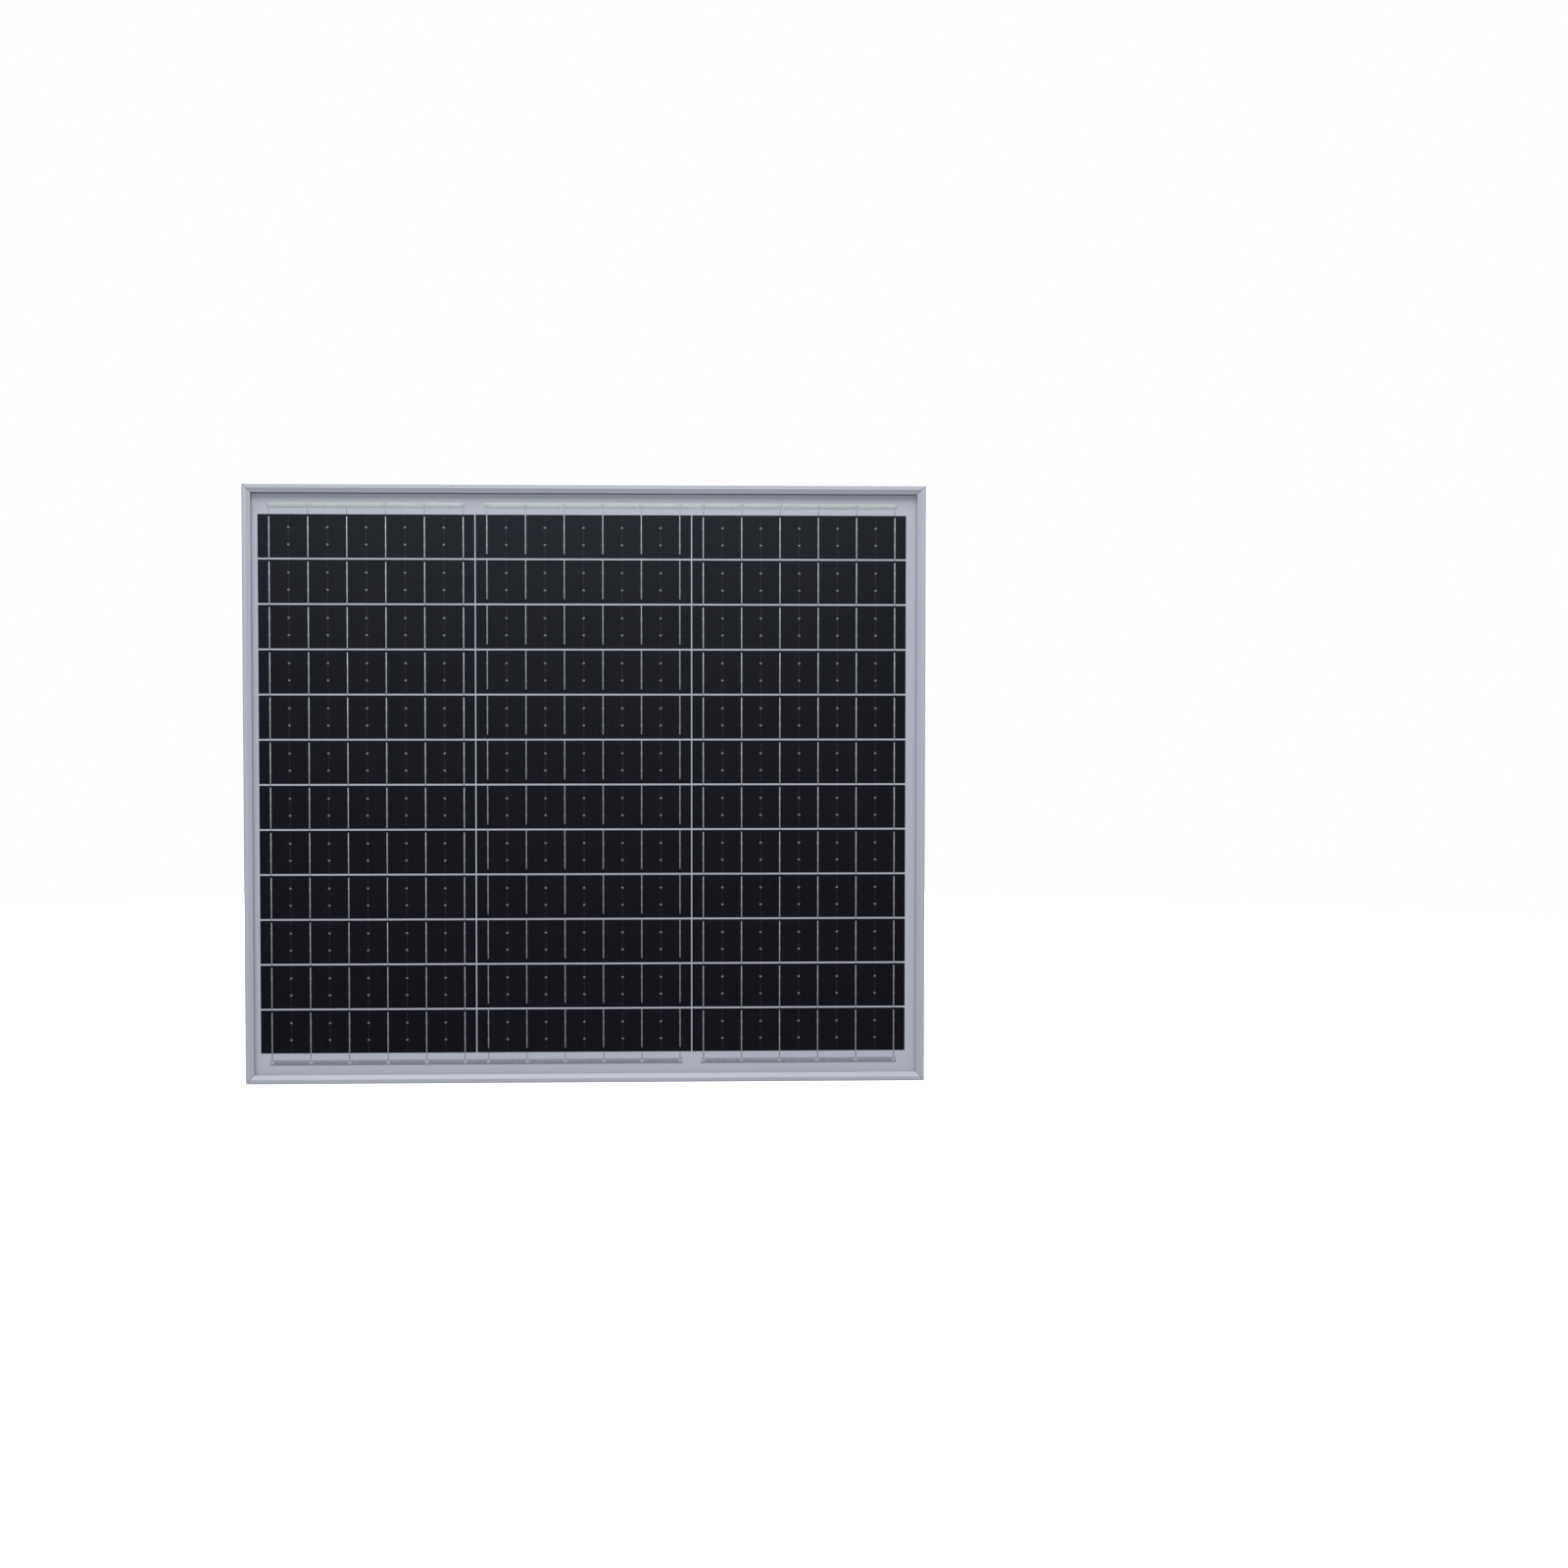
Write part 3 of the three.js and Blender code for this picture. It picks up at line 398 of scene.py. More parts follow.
def tinned(name, colour, metallic=0.55):
    """Solder-coated copper strip, a little uneven along its length."""
    finish = Finish(name, colour, 0.34, metallic)
    ripple = finish.noise(420, 2.0, (1, 1, 0.5))
    finish.vary_colour(finish.spread(ripple, 0.0, 0.6), scaled(colour, 0.7))
    finish.bump(ripple, mm(0.05), 0.6)
    return finish.material


def solder():
    finish = Finish("solder", (0.47, 0.48, 0.52), 0.4, 0.3)
    lumps = finish.noise(650, 3.0)
    finish.vary_colour(finish.spread(lumps, 0.0, 0.7), (0.34, 0.35, 0.39))
    finish.bump(lumps, mm(0.08), 0.6)
    return finish.material


def bright_metal(name, colour, roughness):
    finish = Finish(name, colour, roughness, 1.0)
    scratches = finish.noise(900, 4.0)
    finish.vary_roughness(scratches, roughness * 0.8, roughness * 1.4)
    finish.vary_colour(finish.spread(finish.noise(200), 0.0, 0.4), scaled(colour, 0.82))
    finish.bump(scratches, mm(0.008), 0.3)
    return finish.material


# ---- Mesh helpers ----


def mesh_piece(name, build, finishes):
    """A piece from a bmesh, with smooth faces that stay sharp past an angle."""
    mesh = bpy.data.meshes.new(name)
    build.normal_update()
    for face in build.faces:
        face.smooth = True
    limit = math.radians(SMOOTH_ANGLE)
    for edge in build.edges:
        edge.smooth = len(edge.link_faces) == 2 and edge.calc_face_angle(0) < limit
    build.to_mesh(mesh)
    build.free()
    for finish in finishes if isinstance(finishes, (list, tuple)) else [finishes]:
        mesh.materials.append(finish)
    piece = bpy.data.objects.new(name, mesh)
    bpy.context.scene.collection.objects.link(piece)
    return piece


def floor_disc(name, radius, height, finish):
    build = bmesh.new()
    bmesh.ops.create_circle(build, cap_ends=True, segments=96, radius=radius)
    bmesh.ops.translate(build, verts=build.verts, vec=(0, 0, height))
    return mesh_piece(name, build, finish)


def add_block(build, low, high, edge=0.0, segments=2, index=0):
    """A box between two corners, in millimetres, with its edges rounded."""
    low, high = mm(low), mm(high)
    made = bmesh.ops.create_cube(build, size=1)["verts"]
    bmesh.ops.scale(build, verts=made, vec=high - low)
    bmesh.ops.translate(build, verts=made, vec=(low + high) / 2)
    faces = {face for vert in made for face in vert.link_faces}
    if edge:
        edges = list({e for vert in made for e in vert.link_edges})
        options = {"affect": "EDGES", "profile": 0.5, "clamp_overlap": True}
        done = bmesh.ops.bevel(build, geom=edges, offset=mm(edge), segments=segments, **options)
        faces = {face for vert in done["verts"] for face in vert.link_faces}
    for face in faces:
        face.material_index = index
    return faces


def add_loft(build, rings, index=0, closed=False):
    """Skins rings of points, in millimetres. Its ends are capped, unless it closes on itself."""
    rows = [[build.verts.new(mm(point)) for point in ring] for ring in rings]
    count = len(rows[0])
    pairs = list(zip(rows, rows[1:]))
    if closed:
        pairs.append((rows[-1], rows[0]))
    faces = []
    for lower, upper in pairs:
        for i in range(count):
            j = (i + 1) % count
            faces.append(build.faces.new((lower[i], lower[j], upper[j], upper[i])))
    if not closed:
        faces.append(build.faces.new(list(reversed(rows[0]))))
        faces.append(build.faces.new(rows[-1]))
    for face in faces:
        face.material_index = index
    bmesh.ops.recalc_face_normals(build, faces=faces)
    return faces


def rounded_ring(half, radius, y, middle=(0.0, BOX_MIDDLE_Z), steps=10):
    """A rounded rectangle of points at one depth. half is one size, or one each for X and Z."""
    half_x, half_z = half if hasattr(half, "__len__") else (half, half)
    ring = []
    for quarter, (sx, sz) in enumerate(((1, 1), (-1, 1), (-1, -1), (1, -1))):
        for step in range(steps + 1):
            angle = (quarter + step / steps) * math.pi / 2
            x = middle[0] + sx * (half_x - radius) + radius * math.cos(angle)
            z = middle[1] + sz * (half_z - radius) + radius * math.sin(angle)
            ring.append((x, y, z))
    return ring


def circle(radius, height, place, axis, sides=32):
    """A circle of points about an axis, some way along it."""
    axis = Vector(axis).normalized()
    side = axis.orthogonal().normalized()
    other = axis.cross(side)
    middle = Vector(place) + axis * height
    angles = [2 * math.pi * i / sides for i in range(sides)]
    return [middle + (side * math.cos(a) + other * math.sin(a)) * radius for a in angles]


def add_lathe(build, profile, place, axis, sides=32, index=0):
    """A turned solid. The profile is (radius, height) from one end to the other, off the axis."""
    rings = [circle(radius, height, place, axis, sides) for radius, height in profile]
    return add_loft(build, rings, index)


def arc(middle, radius, start, end, steps):
    """(radius, height) or any two-number points round an arc, in degrees."""
    angles = [math.radians(start + (end - start) * i / steps) for i in range(steps + 1)]
    return [(middle[0] + radius * math.cos(a), middle[1] + radius * math.sin(a)) for a in angles]


def soften(node, edge):
    """Rounds a CAD node's edges a little, and shades its flat faces flat."""
    piece = nodes[node]
    weld = piece.modifiers.new("weld", "WELD")
    weld.merge_threshold = 1e-6
    flat = piece.modifiers.new("flat", "DECIMATE")
    flat.decimate_type = "DISSOLVE"
    flat.angle_limit = math.radians(0.5)
    bevel = piece.modifiers.new("bevel", "BEVEL")
    bevel.width = mm(edge)
    bevel.segments = 2
    bevel.limit_method = "ANGLE"
    bevel.angle_limit = math.radians(35)
    split = piece.modifiers.new("split", "EDGE_SPLIT")
    split.split_angle = math.radians(12)
    normals = piece.modifiers.new("normals", "WEIGHTED_NORMAL")
    normals.weight = 100


def paint(node, finish):
    piece = nodes[node]
    if piece.data.materials:
        for i in range(len(piece.data.materials)):
            piece.data.materials[i] = finish
    else:
        piece.data.materials.append(finish)


# ---- Cells and ribbons ----


def offsets(count):
    """Places across a string, a ribbon pitch apart, either side of its middle."""
    return [(i - (count - 1) / 2) * RIBBON_PITCH for i in range(count)]


def add_strip(build, x, path, width, thickness, index):
    """A flat ribbon with a crowned front along a path of (y, z) points, in millimetres.
    The path is the ribbon's back, and its ends are rounded off by narrowing."""
    rings = []
    last = len(path) - 1
    for i, (y, z) in enumerate(path):
        half = width / 2 * (0.35 if i in (0, last) else 1.0)
        front = y - thickness * (0.3 if i in (0, last) else 1.0)
        shoulder = y - thickness * 0.5
        rings.append(
            [
                (x - half, y, z),
                (x - half, min(shoulder, y - 0.01), z),
                (x - half * 0.5, front, z),
                (x + half * 0.5, front, z),
                (x + half, min(shoulder, y - 0.01), z),
                (x + half, y, z),
            ]
        )
    add_loft(build, rings, index)


def ribbon_path(top, bottom, front_y, rear_y, goes_down):
    """One ribbon's way: along a cell's front, then over the gap to behind the next cell."""
    if goes_down:
        start, end, step = top - RIBBON_INSET_DOWN, bottom, -1
    else:
        start, end, step = bottom + RIBBON_INSET_UP, top, 1
    return [
        (front_y, start),
        (front_y, start + step * 0.5),
        (front_y, end - step * 0.9),
        (front_y, end - step * 0.3),
        (front_y + 0.02, end + step * 0.2),
        (rear_y - 0.02, end + step * (ROW_GAP - 0.1)),
        (rear_y, end + step * (ROW_GAP + 1.0)),
    ]


def cell_string(order, name, finishes):
    """One string: its wafers, their printed busbars and pads, and the ribbons between them."""
    low, high = box_mm(f"cell_string_{name}")
    middle = (low.x + high.x) / 2
    pitch = (high.z - low.z + ROW_GAP) / ROWS
    rear = high.y - WAFER_BACK_GAP
    wafer_front = rear - WAFER_THICKNESS
    goes_down = name != "middle"
    random = np.random.default_rng(40 + order)
    build = bmesh.new()
    tone = build.faces.layers.float.new("tone")
    for row in range(ROWS):
        top = high.z - row * pitch
        bottom = top - pitch + ROW_GAP
        shade = float(random.uniform(0.0, 1.0))
        for face in add_block(build, (low.x, wafer_front, bottom), (high.x, rear, top), 0.03, 1):
            face[tone] = shade
        for offset in offsets(RIBBONS - 1):
            x = middle + offset
            corner = (x - 0.07, wafer_front - 0.012, bottom + 1.2)
            add_block(build, corner, (x + 0.07, wafer_front + 0.01, top - 1.2), 0, 1, 1)
        for depth in PAD_DEPTHS:
            z = top - depth
            for count, half_height in ((RIBBONS - 1, 0.7), (RIBBONS, 0.55)):
                for offset in offsets(count):
                    x = middle + offset
                    corner = (x - PAD_HALF_WIDTH, wafer_front - 0.03, z - half_height)
                    far = (x + PAD_HALF_WIDTH, wafer_front + 0.02, z + half_height)
                    add_block(build, corner, far, 0.02, 1, 2)
        is_end = row == (ROWS - 1 if goes_down else 0)
        if is_end:
            continue
        path = ribbon_path(top, bottom, wafer_front - 0.01, rear + 0.015, goes_down)
        for offset in offsets(RIBBONS):
            add_strip(build, middle + offset, path, RIBBON_WIDTH, 0.1, 3)
    piece = mesh_piece(f"cells_{name}", build, finishes)
    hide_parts(f"cell_string_{name}")
    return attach(piece, "panel")


def bus(name, strings, side, finishes):
    """A bus ribbon with the tabs that come to it from its strings, and a solder joint on each."""
    node = f"bus_ribbon_{name}"
    low, high = box_mm(node)
    middle_z = (low.z + high.z) / 2
    back = high.y - 0.05
    random = np.random.default_rng(len(name) * 7 + (side > 0))
    build = bmesh.new()
    half = (high.z - low.z) / 2
    rings = []
    steps = max(12, int((high.x - low.x) / 8))
    for i in range(steps + 1):
        x = low.x + (high.x - low.x) * i / steps
        wave = float(random.uniform(-0.02, 0.02))
        front = back - 0.14 + wave
        outline = [(-half, back), (-half, front + 0.03), (-half + 0.25, front)]
        outline += [(half - 0.25, front), (half, front + 0.03), (half, back)]
        rings.append([(x, y, middle_z + z) for z, y in outline])
    add_loft(build, rings, 0)
    for string in strings:
        cell_low, cell_high = box_mm(f"cell_string_{string}")
        string_x = (cell_low.x + cell_high.x) / 2
        edge = cell_high.z if side > 0 else cell_low.z
        wafer_front = cell_high.y - WAFER_BACK_GAP - WAFER_THICKNESS
        on_front = (string == "middle") == (side > 0)
        for offset in offsets(RIBBONS):
            x = string_x + offset
            tab_end = middle_z + side * (half + 0.4)
            if on_front:
                inset = RIBBON_INSET_UP if string == "middle" else RIBBON_INSET_DOWN
                start = edge - side * (CELL_HEIGHT - inset)
                on_cell = (start, start + side * 0.5, edge - side * 0.8, edge - side * 0.2)
                path = [(wafer_front - 0.01, z) for z in on_cell]
                path.append((back - 0.15, edge + side * 2.5))
            else:
                path = [(back + 0.02, edge - side * 1.0), (back + 0.02, edge + side * 0.6)]
                path += [(back - 0.13, edge + side * 3.0)]
            path += [(back - 0.16, middle_z), (back - 0.16, tab_end)]
            add_strip(build, x, path, RIBBON_WIDTH, 0.06, 1)
            blob = [(1.75, 0.0), (1.6, 0.05), (1.0, 0.11), (0.35, 0.13)]
            add_lathe(build, blob, (x, back - 0.13, middle_z + side * 0.4), (0, -1, 0), 16, 2)
    piece = mesh_piece(f"bus_{name}", build, finishes)
    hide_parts(node)
    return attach(piece, "panel")


def add_cells():
    ribbon = tinned("tinned_ribbon", (0.35, 0.358, 0.376))
    tab = tinned("tinned_tab", (0.34, 0.35, 0.38), 0.4)
    # The two bus ribbons are one tinned strip in two colours: the upper one is painted lighter as
    # if lit, and the lower one is painted darker and bluer for a dark reflection.
    top_bus_painted_light = tinned("bus_upper_painted_lit", (0.43, 0.45, 0.447), 0.2)
    bottom_bus_painted_reflection = tinned("bus_lower_painted_dark_reflection", (0.33, 0.335, 0.385), 0.3)
    joint = solder()
    silver = Finish("silver_print", (0.050, 0.054, 0.064), 0.5)
    silver.vary_colour(silver.spread(silver.noise(300), 0.0, 0.6), (0.028, 0.031, 0.038))
    pad = Finish("silver_pad", (0.21, 0.215, 0.23), 0.5, 0.2)
    pad.vary_colour(pad.spread(pad.noise(900), 0.0, 0.8), (0.12, 0.125, 0.135))
    finishes = [silicon(), silver.material, pad.material, ribbon]
    for order, name in enumerate(STRINGS):
        cell_string(order, name, finishes)
    bus("top_left", ["left"], 1, [top_bus_painted_light, tab, joint])
    bus("top_link", ["middle", "right"], 1, [top_bus_painted_light, tab, joint])
    bus("bottom_link", ["left", "middle"], -1, [bottom_bus_painted_reflection, tab, joint])
    bus("bottom_right", ["right"], -1, [bottom_bus_painted_reflection, tab, joint])


# ---- Frame and laminate ----


def add_frame_looks():
    upright, level = anodised("anodised_upright", "z"), anodised("anodised_level", "x")
    for side in ("left", "right"):
        paint(f"frame_rail_{side}", upright)
    for side in ("top", "bottom"):
        paint(f"frame_rail_{side}", level)
    for side in ("left", "right", "top", "bottom"):
        soften(f"frame_rail_{side}", 0.22)
    # The corner keys' cast-metal colour is darkened to stand for the shade inside the frame's
    # corner holes: painted shade.
    key = cast_metal("cast_key_painted_shade", (0.20, 0.205, 0.22), 0.55)
    for corner in ("top_left", "top_right", "bottom_left", "bottom_right"):
        paint(f"corner_key_{corner}", key)
        soften(f"corner_key_{corner}", 0.3)
    paint("glazing_gasket", moulded("silicone_seal", (0.60, 0.61, 0.63), 0.6))
    paint("front_glass", clear_glass())
    paint("front_encapsulant", clear_film())
    paint("rear_encapsulant", film("white_encapsulant", (0.525, 0.527, 0.613), 0.5))
    paint("backsheet", film("white_backsheet", (0.645, 0.66, 0.775), 0.52, 0.03))
    lead = tinned("tinned_lead", (0.62, 0.635, 0.66))
    for end in ("positive", "negative"):
        paint(f"output_lead_{end}", lead)


# ---- Label ----


def add_label():
    """A grey film with a printed table. Plain bars stand where a real one has words and numbers.
    Places on it are millimetres from its left and top edges as seen from behind."""
    low, high = box_mm("rating_label")
    film_front = high.y - 0.03
    coat = Finish("label_film", (0.42, 0.445, 0.565), 0.42)
    coat.vary_colour(coat.spread(coat.noise(60, 4.0), 0.0, 0.6), (0.37, 0.395, 0.51))
    coat.vary_roughness(coat.noise(500), 0.36, 0.5)
    coat.bump(coat.noise(300), mm(0.02), 0.4)
    build = bmesh.new()
    half = ((high.x - low.x) / 2, (high.z - low.z) / 2)
    middle = ((high.x + low.x) / 2, (high.z + low.z) / 2)
    rings = []
    for y, inset in ((low.y, 0.0), (film_front - 0.04, 0.0), (film_front, 0.05)):
        rings.append(rounded_ring((half[0] - inset, half[1] - inset), 1.2, y, middle, 6))
    add_loft(build, rings)
    sheet = mesh_piece("label_film", build, coat.material)
    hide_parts("rating_label")
    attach(sheet, "panel")

    build = bmesh.new()
    random = np.random.default_rng(11)

    def bar(left, top, right, bottom, index=0):
        corner = (high.x - right, film_front + 0.002, high.z - bottom)
        add_block(build, corner, (high.x - left, high.y - 0.005, high.z - top), 0, 1, index)

    left, top, right, bottom = LABEL_TABLE
    for line in ((left, top, right, top + 0.5), (left, bottom - 0.5, right, bottom)):
        bar(*line)
    for edge in (left, right - 0.5):
        bar(edge, top + 0.5, edge + 0.5, bottom - 0.5)
    for start, end in ((19.5, 32.0), (34.5, 41.0), (43.0, 51.5), (54.5, 65.0), (67.5, 73.0)):
        bar(start, 7.3, end, 9.1)
    for row in range(LABEL_ROWS):
        middle_v = LABEL_FIRST_ROW + row * LABEL_ROW_PITCH
        bar(left + 0.5, middle_v - 3.08, right - 0.5, middle_v - 2.92, 1)
        end = float(random.uniform(26, 52))
        at = 5.0
        while at < end:
            width = float(random.uniform(2.6, 6.5))
            bar(at, middle_v - 0.6, min(at + width, 54.0), middle_v + 0.6)
            at += width + 1.3
        start = float(random.uniform(60, 64))
        bar(start, middle_v - 0.6, start + 3.4, middle_v + 0.6)
        bar(start + 4.8, middle_v - 0.6, start + 7.2, middle_v + 0.6)
    below = LABEL_FIRST_ROW + LABEL_ROWS * LABEL_ROW_PITCH - 3.0
    bar(left + 0.5, below - 0.08, right - 0.5, below + 0.08, 1)
    bar(LABEL_COLUMN, LABEL_FIRST_ROW - 2.9, LABEL_COLUMN + 0.2, below - 0.1, 1)
    for start, end in ((16.0, 21.0), (22.5, 30.0), (31.5, 35.5)):
        bar(start, 54.9, end, 56.1)
    ink = moulded("label_ink", (0.15, 0.165, 0.225), 0.5, 3000, 0.004)
    faint = moulded("label_rule", (0.26, 0.28, 0.36), 0.5, 3000, 0.004)
    printed = mesh_piece("label_print", build, [ink, faint])
    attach(printed, "panel")


# ---- Junction box ----


def box_lid(finish):
    """The lid: a shell with a rolled edge and a shallow sunk panel, hinge bars and latch loops."""
    top = box_mm("junction_box_lid")[1].y
    rim = LID_RIM_Y
    inner = (BOX_HALF - BOX_WALL, BOX_RADIUS - BOX_WALL)
    build = bmesh.new()
    edge = 2.6
    rings = [rounded_ring(*inner, top - 2.4), rounded_ring(*inner, rim)]
    rings += [rounded_ring(BOX_HALF, BOX_RADIUS, y) for y in (rim, top - edge)]
    for across, along in arc((0, 0), edge, 0, 90, 7)[1:]:
        inset = edge - across
        rings.append(rounded_ring(BOX_HALF - inset, BOX_RADIUS - inset, top - edge + along))
    rings.append(rounded_ring(30.4, 6.0, top))
    rings.append(rounded_ring(30.1, 5.7, top - 0.06))
    rings.append(rounded_ring(29.4, 5.1, top - 0.42))
    rings.append(rounded_ring(29.1, 4.8, top - 0.48))
    add_loft(build, rings)
    for z in LUG_HEIGHTS:
        bar = [(0.8, -7.0), (1.0, -6.8), (1.0, 6.8), (0.8, 7.0)]
        add_lathe(build, bar, (HINGE.x, HINGE.y, z), (0, 0, 1), 20)
        for side in (-1, 1):
            arm = z + side * 5.75
            knuckle = [(1.9, -1.25), (2.2, -1.0), (2.2, 1.0), (1.9, 1.25)]
            add_lathe(build, knuckle, (HINGE.x, HINGE.y, arm), (0, 0, 1), 28)
            corner = (34.2, HINGE.y + 0.3, arm - 1.25)
            add_block(build, corner, (HINGE.x, HINGE.y + 3.6, arm + 1.25), 0.3)
        for side in (-1, 1):
            edge_z = sorted((z + side * 7, z + side * 4.6))
            add_block(build, (-41.2, rim, edge_z[0]), (-34.2, rim + 4, edge_z[1]), 0.4)
        add_block(build, (-41.2, rim, z - 5.2), (-39.6, rim + 4, z + 5.2), 0.4)
        add_block(build, (-36.0, rim, z - 5.2), (-34.2, rim + 4, z + 5.2), 0.3)
    piece = mesh_piece("box_lid", build, finish)
    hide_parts("junction_box_lid")
    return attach(piece, "lid")


def strain_relief(finish):
    """A soft block with rolled edges that narrows to the cable, and its neck into the box."""
    low, high = box_mm("strain_relief")
    wall = BOX_MIDDLE_Z - BOX_HALF
    depth = (high.y - low.y) / 2
    middle_y = (high.y + low.y) / 2
    build = bmesh.new()

    def section(z, half_x, half_y, radius):
        ring = rounded_ring((half_x, half_y), radius, 0, (0.0, 0.0), 6)
        return [(x, middle_y + y, z) for x, _, y in ring]

    bottom = low.z
    rings = [section(bottom, 3.1, 2.7, 2.5), section(bottom + 0.12, 3.6, 2.9, 2.6)]
    for angle in range(0, 91, 15):
        turn = math.radians(angle)
        z = bottom + 0.3 + 2.7 * (1 - math.cos(turn))
        half_x = 4.7 + 2.5 * math.sin(turn)
        half_y = depth - 0.9 * (1 - math.sin(turn))
        rings.append(section(z, half_x, half_y, 2.6))
    rings += [section(bottom + 8, 7.6, depth, 2.4), section(wall - 0.7, 8.0, depth, 2.2)]
    rings.append(section(wall - 0.42, 7.9, depth - 0.1, 2.1))
    rings.append(section(wall - 0.32, 7.6, depth - 0.4, 1.9))
    add_loft(build, rings)
    add_block(build, (-4.4, -14.65, wall - 1.3), (4.4, -10.6, wall + 3.1), 0.5)
    add_block(build, (-6.4, -14.65, wall + 2.35), (6.4, -9.85, wall + 3.95), 0.5)
    piece = mesh_piece("relief", build, finish)
    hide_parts("strain_relief")
    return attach(piece, "panel")


def terminal_screw(end, finish):
    """A pan-head screw, its point in the base's boss. Its cross recess is not cut: a thin dark
    cross on the head stands for it as painted shade.
    """
    low, high = box_mm(f"terminal_screw_{end}")
    x, z = (low.x + high.x) / 2, (low.z + high.z) / 2
    head = high.y - 1.8
    build = bmesh.new()
    profile = [(0.3, low.y), (1.05, low.y + 0.5), (1.05, head), (2.7, head), (2.8, head + 0.15)]
    profile += [(2.8, head + 0.7)] + arc((2.0, head + 0.95), 0.8, -10, 90, 5)
    profile += [(0.9, head + 1.75)]
    add_lathe(build, profile, (x, 0, z), (0, 1, 0))
    for wide, narrow in ((0.28, 1.7), (1.7, 0.28)):
        corner = (x - wide, head + 1.70, z - narrow)
        add_block(build, corner, (x + wide, head + 1.78, z + narrow), 0.02, 1, 1)
    # The near-black cross on the head is painted shade for the cross recess, not a colour of the
    # plated steel.
    recess = moulded("screw_recess_painted_shade", (0.02, 0.02, 0.022), 0.6)
    piece = mesh_piece(f"screw_{end}", build, [finish, recess])
    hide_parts(f"terminal_screw_{end}")
    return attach(piece, "panel")


def diode():
    """An axial diode across the terminals: a barrel, banded at its positive end, on its leads."""
    low, high = box_mm("bypass_diode")
    place = (low + high) / 2
    reach = (high.x - low.x) / 2
    half, radius = 4.75, 2.6
    end = arc((radius - 0.4, half - 0.4), 0.4, 0, 80, 4)
    band = [(radius, half - 2.4), (radius, half - 1.1)]
    body = [(0.7, -half)] + [(r, -h) for r, h in reversed(end)] + band[:1]
    build = bmesh.new()
    add_lathe(build, body, place, (-1, 0, 0), 32, 0)
    add_lathe(build, band, place, (-1, 0, 0), 32, 1)
    add_lathe(build, band[1:] + end + [(0.7, half)], place, (-1, 0, 0), 32, 0)
    lead = [(0.5, -reach), (0.6, -reach + 0.1), (0.6, reach - 0.1), (0.5, reach)]
    add_lathe(build, lead, place, (1, 0, 0), 16, 2)
    case = moulded("diode_body", (0.014, 0.014, 0.016), 0.35)
    stripe = moulded("diode_band", (0.42, 0.43, 0.44), 0.4)
    wire = bright_metal("diode_lead", (0.62, 0.63, 0.64), 0.3)
    piece = mesh_piece("diode", build, [case, stripe, wire])
    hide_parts("bypass_diode")
    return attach(piece, "panel")


def add_junction_box():
    plastic = moulded("box_plastic", (0.0022, 0.0032, 0.0056), 0.4, gloss=0.12)
    rubber = moulded("soft_rubber", (0.0032, 0.0032, 0.0052), 0.5, 1500, gloss=0.12)
    paint("junction_box_base", plastic)
    soften("junction_box_base", 0.25)
    box_lid(plastic)
    strain_relief(rubber)
    paint("lid_gasket", moulded("gasket_rubber", (0.03, 0.03, 0.033), 0.7))
    soften("lid_gasket", 0.3)
    paint("box_adhesive_pad", moulded("foam_tape", (0.62, 0.63, 0.64), 0.8, 900, 0.08))
    diode()
    brass = bright_metal("terminal_brass", (0.62, 0.42, 0.14), 0.3)
    steel = bright_metal("plated_steel", (0.55, 0.56, 0.58), 0.28)
    for end in ("positive", "negative"):
        paint(f"terminal_{end}", brass)
        soften(f"terminal_{end}", 0.15)
        terminal_screw(end, steel)
    paint("wire_positive", moulded("red_insulation", (0.33, 0.015, 0.012), 0.35))
    paint("wire_negative", moulded("black_insulation", (0.010, 0.010, 0.012), 0.35))
    for end in ("positive", "negative"):
        soften(f"wire_{end}", 0.2)


# ---- Cable ----


def in_hank(along, across, y):
    """A point of the hank's own axes as one of the frame's, in millimetres."""
    return HANK_MIDDLE + HANK_ALONG * along + HANK_ACROSS * across + Vector((0, y, 0))


def hank_guides():
    """Rough points of the folded cable: eight runs through the waist, with a turn at each end."""
    waist = [(0, -5.5), (4.7, -5.5), (2.4, -9.8), (4.7, -14), (0, -14), (-4.7, -5.5), (-2.4, -9.8)]
    turns = [
        (-51, -6.0, 6.6, 1, -7.0),
        (50, 3.2, 6.9, -1, -7.0),
        (-49, 6.5, 6.6, 1, -9.5),
        (45, 2.6, 6.6, -1, -12.8),
        (-51, 5.5, 6.4, -1, -13.6),
        (50, -14.2, 6.5, -1, -9.0),
        (-48, -6.5, 6.4, -1, -12.6),
    ]
    points = []
    for (across, y), (end, middle, radius, turning, depth) in zip(waist, turns):
        points.append((0, across, y))
        outward = 1 if end > 0 else -1
        for angle in range(-100, 101, 25):
            a = math.radians(angle)
            along = end + outward * radius * math.cos(a)
            points.append((along, middle + turning * radius * math.sin(a), depth))
    points += [(0, -4.7, -14), (22, -8.5, -14.2), (42, -13.5, -14.4)]
    return [in_hank(*point) for point in points]


def smooth_line(points, spacing):
    """Points a set distance apart on a Catmull-Rom curve through some."""
    p = np.array([tuple(point) for point in points], float)
    p = np.vstack([2 * p[0] - p[1], p, 2 * p[-1] - p[-2]])
    fine = []
    for a, b, c, d in zip(p, p[1:], p[2:], p[3:]):
        for t in np.linspace(0, 1, 24, endpoint=False):
            even = 2 * b + (c - a) * t + (2 * a - 5 * b + 4 * c - d) * t**2
            fine.append((even + (3 * b - a - 3 * c + d) * t**3) / 2)
    fine.append(p[-2])
    fine = np.array(fine)
    run = np.concatenate([[0], np.cumsum(np.linalg.norm(np.diff(fine, axis=0), axis=1))])
    count = max(2, int(round(run[-1] / spacing)) + 1)
    at = np.linspace(0, run[-1], count)
    return np.stack([np.interp(at, run, fine[:, i]) for i in range(3)], 1)


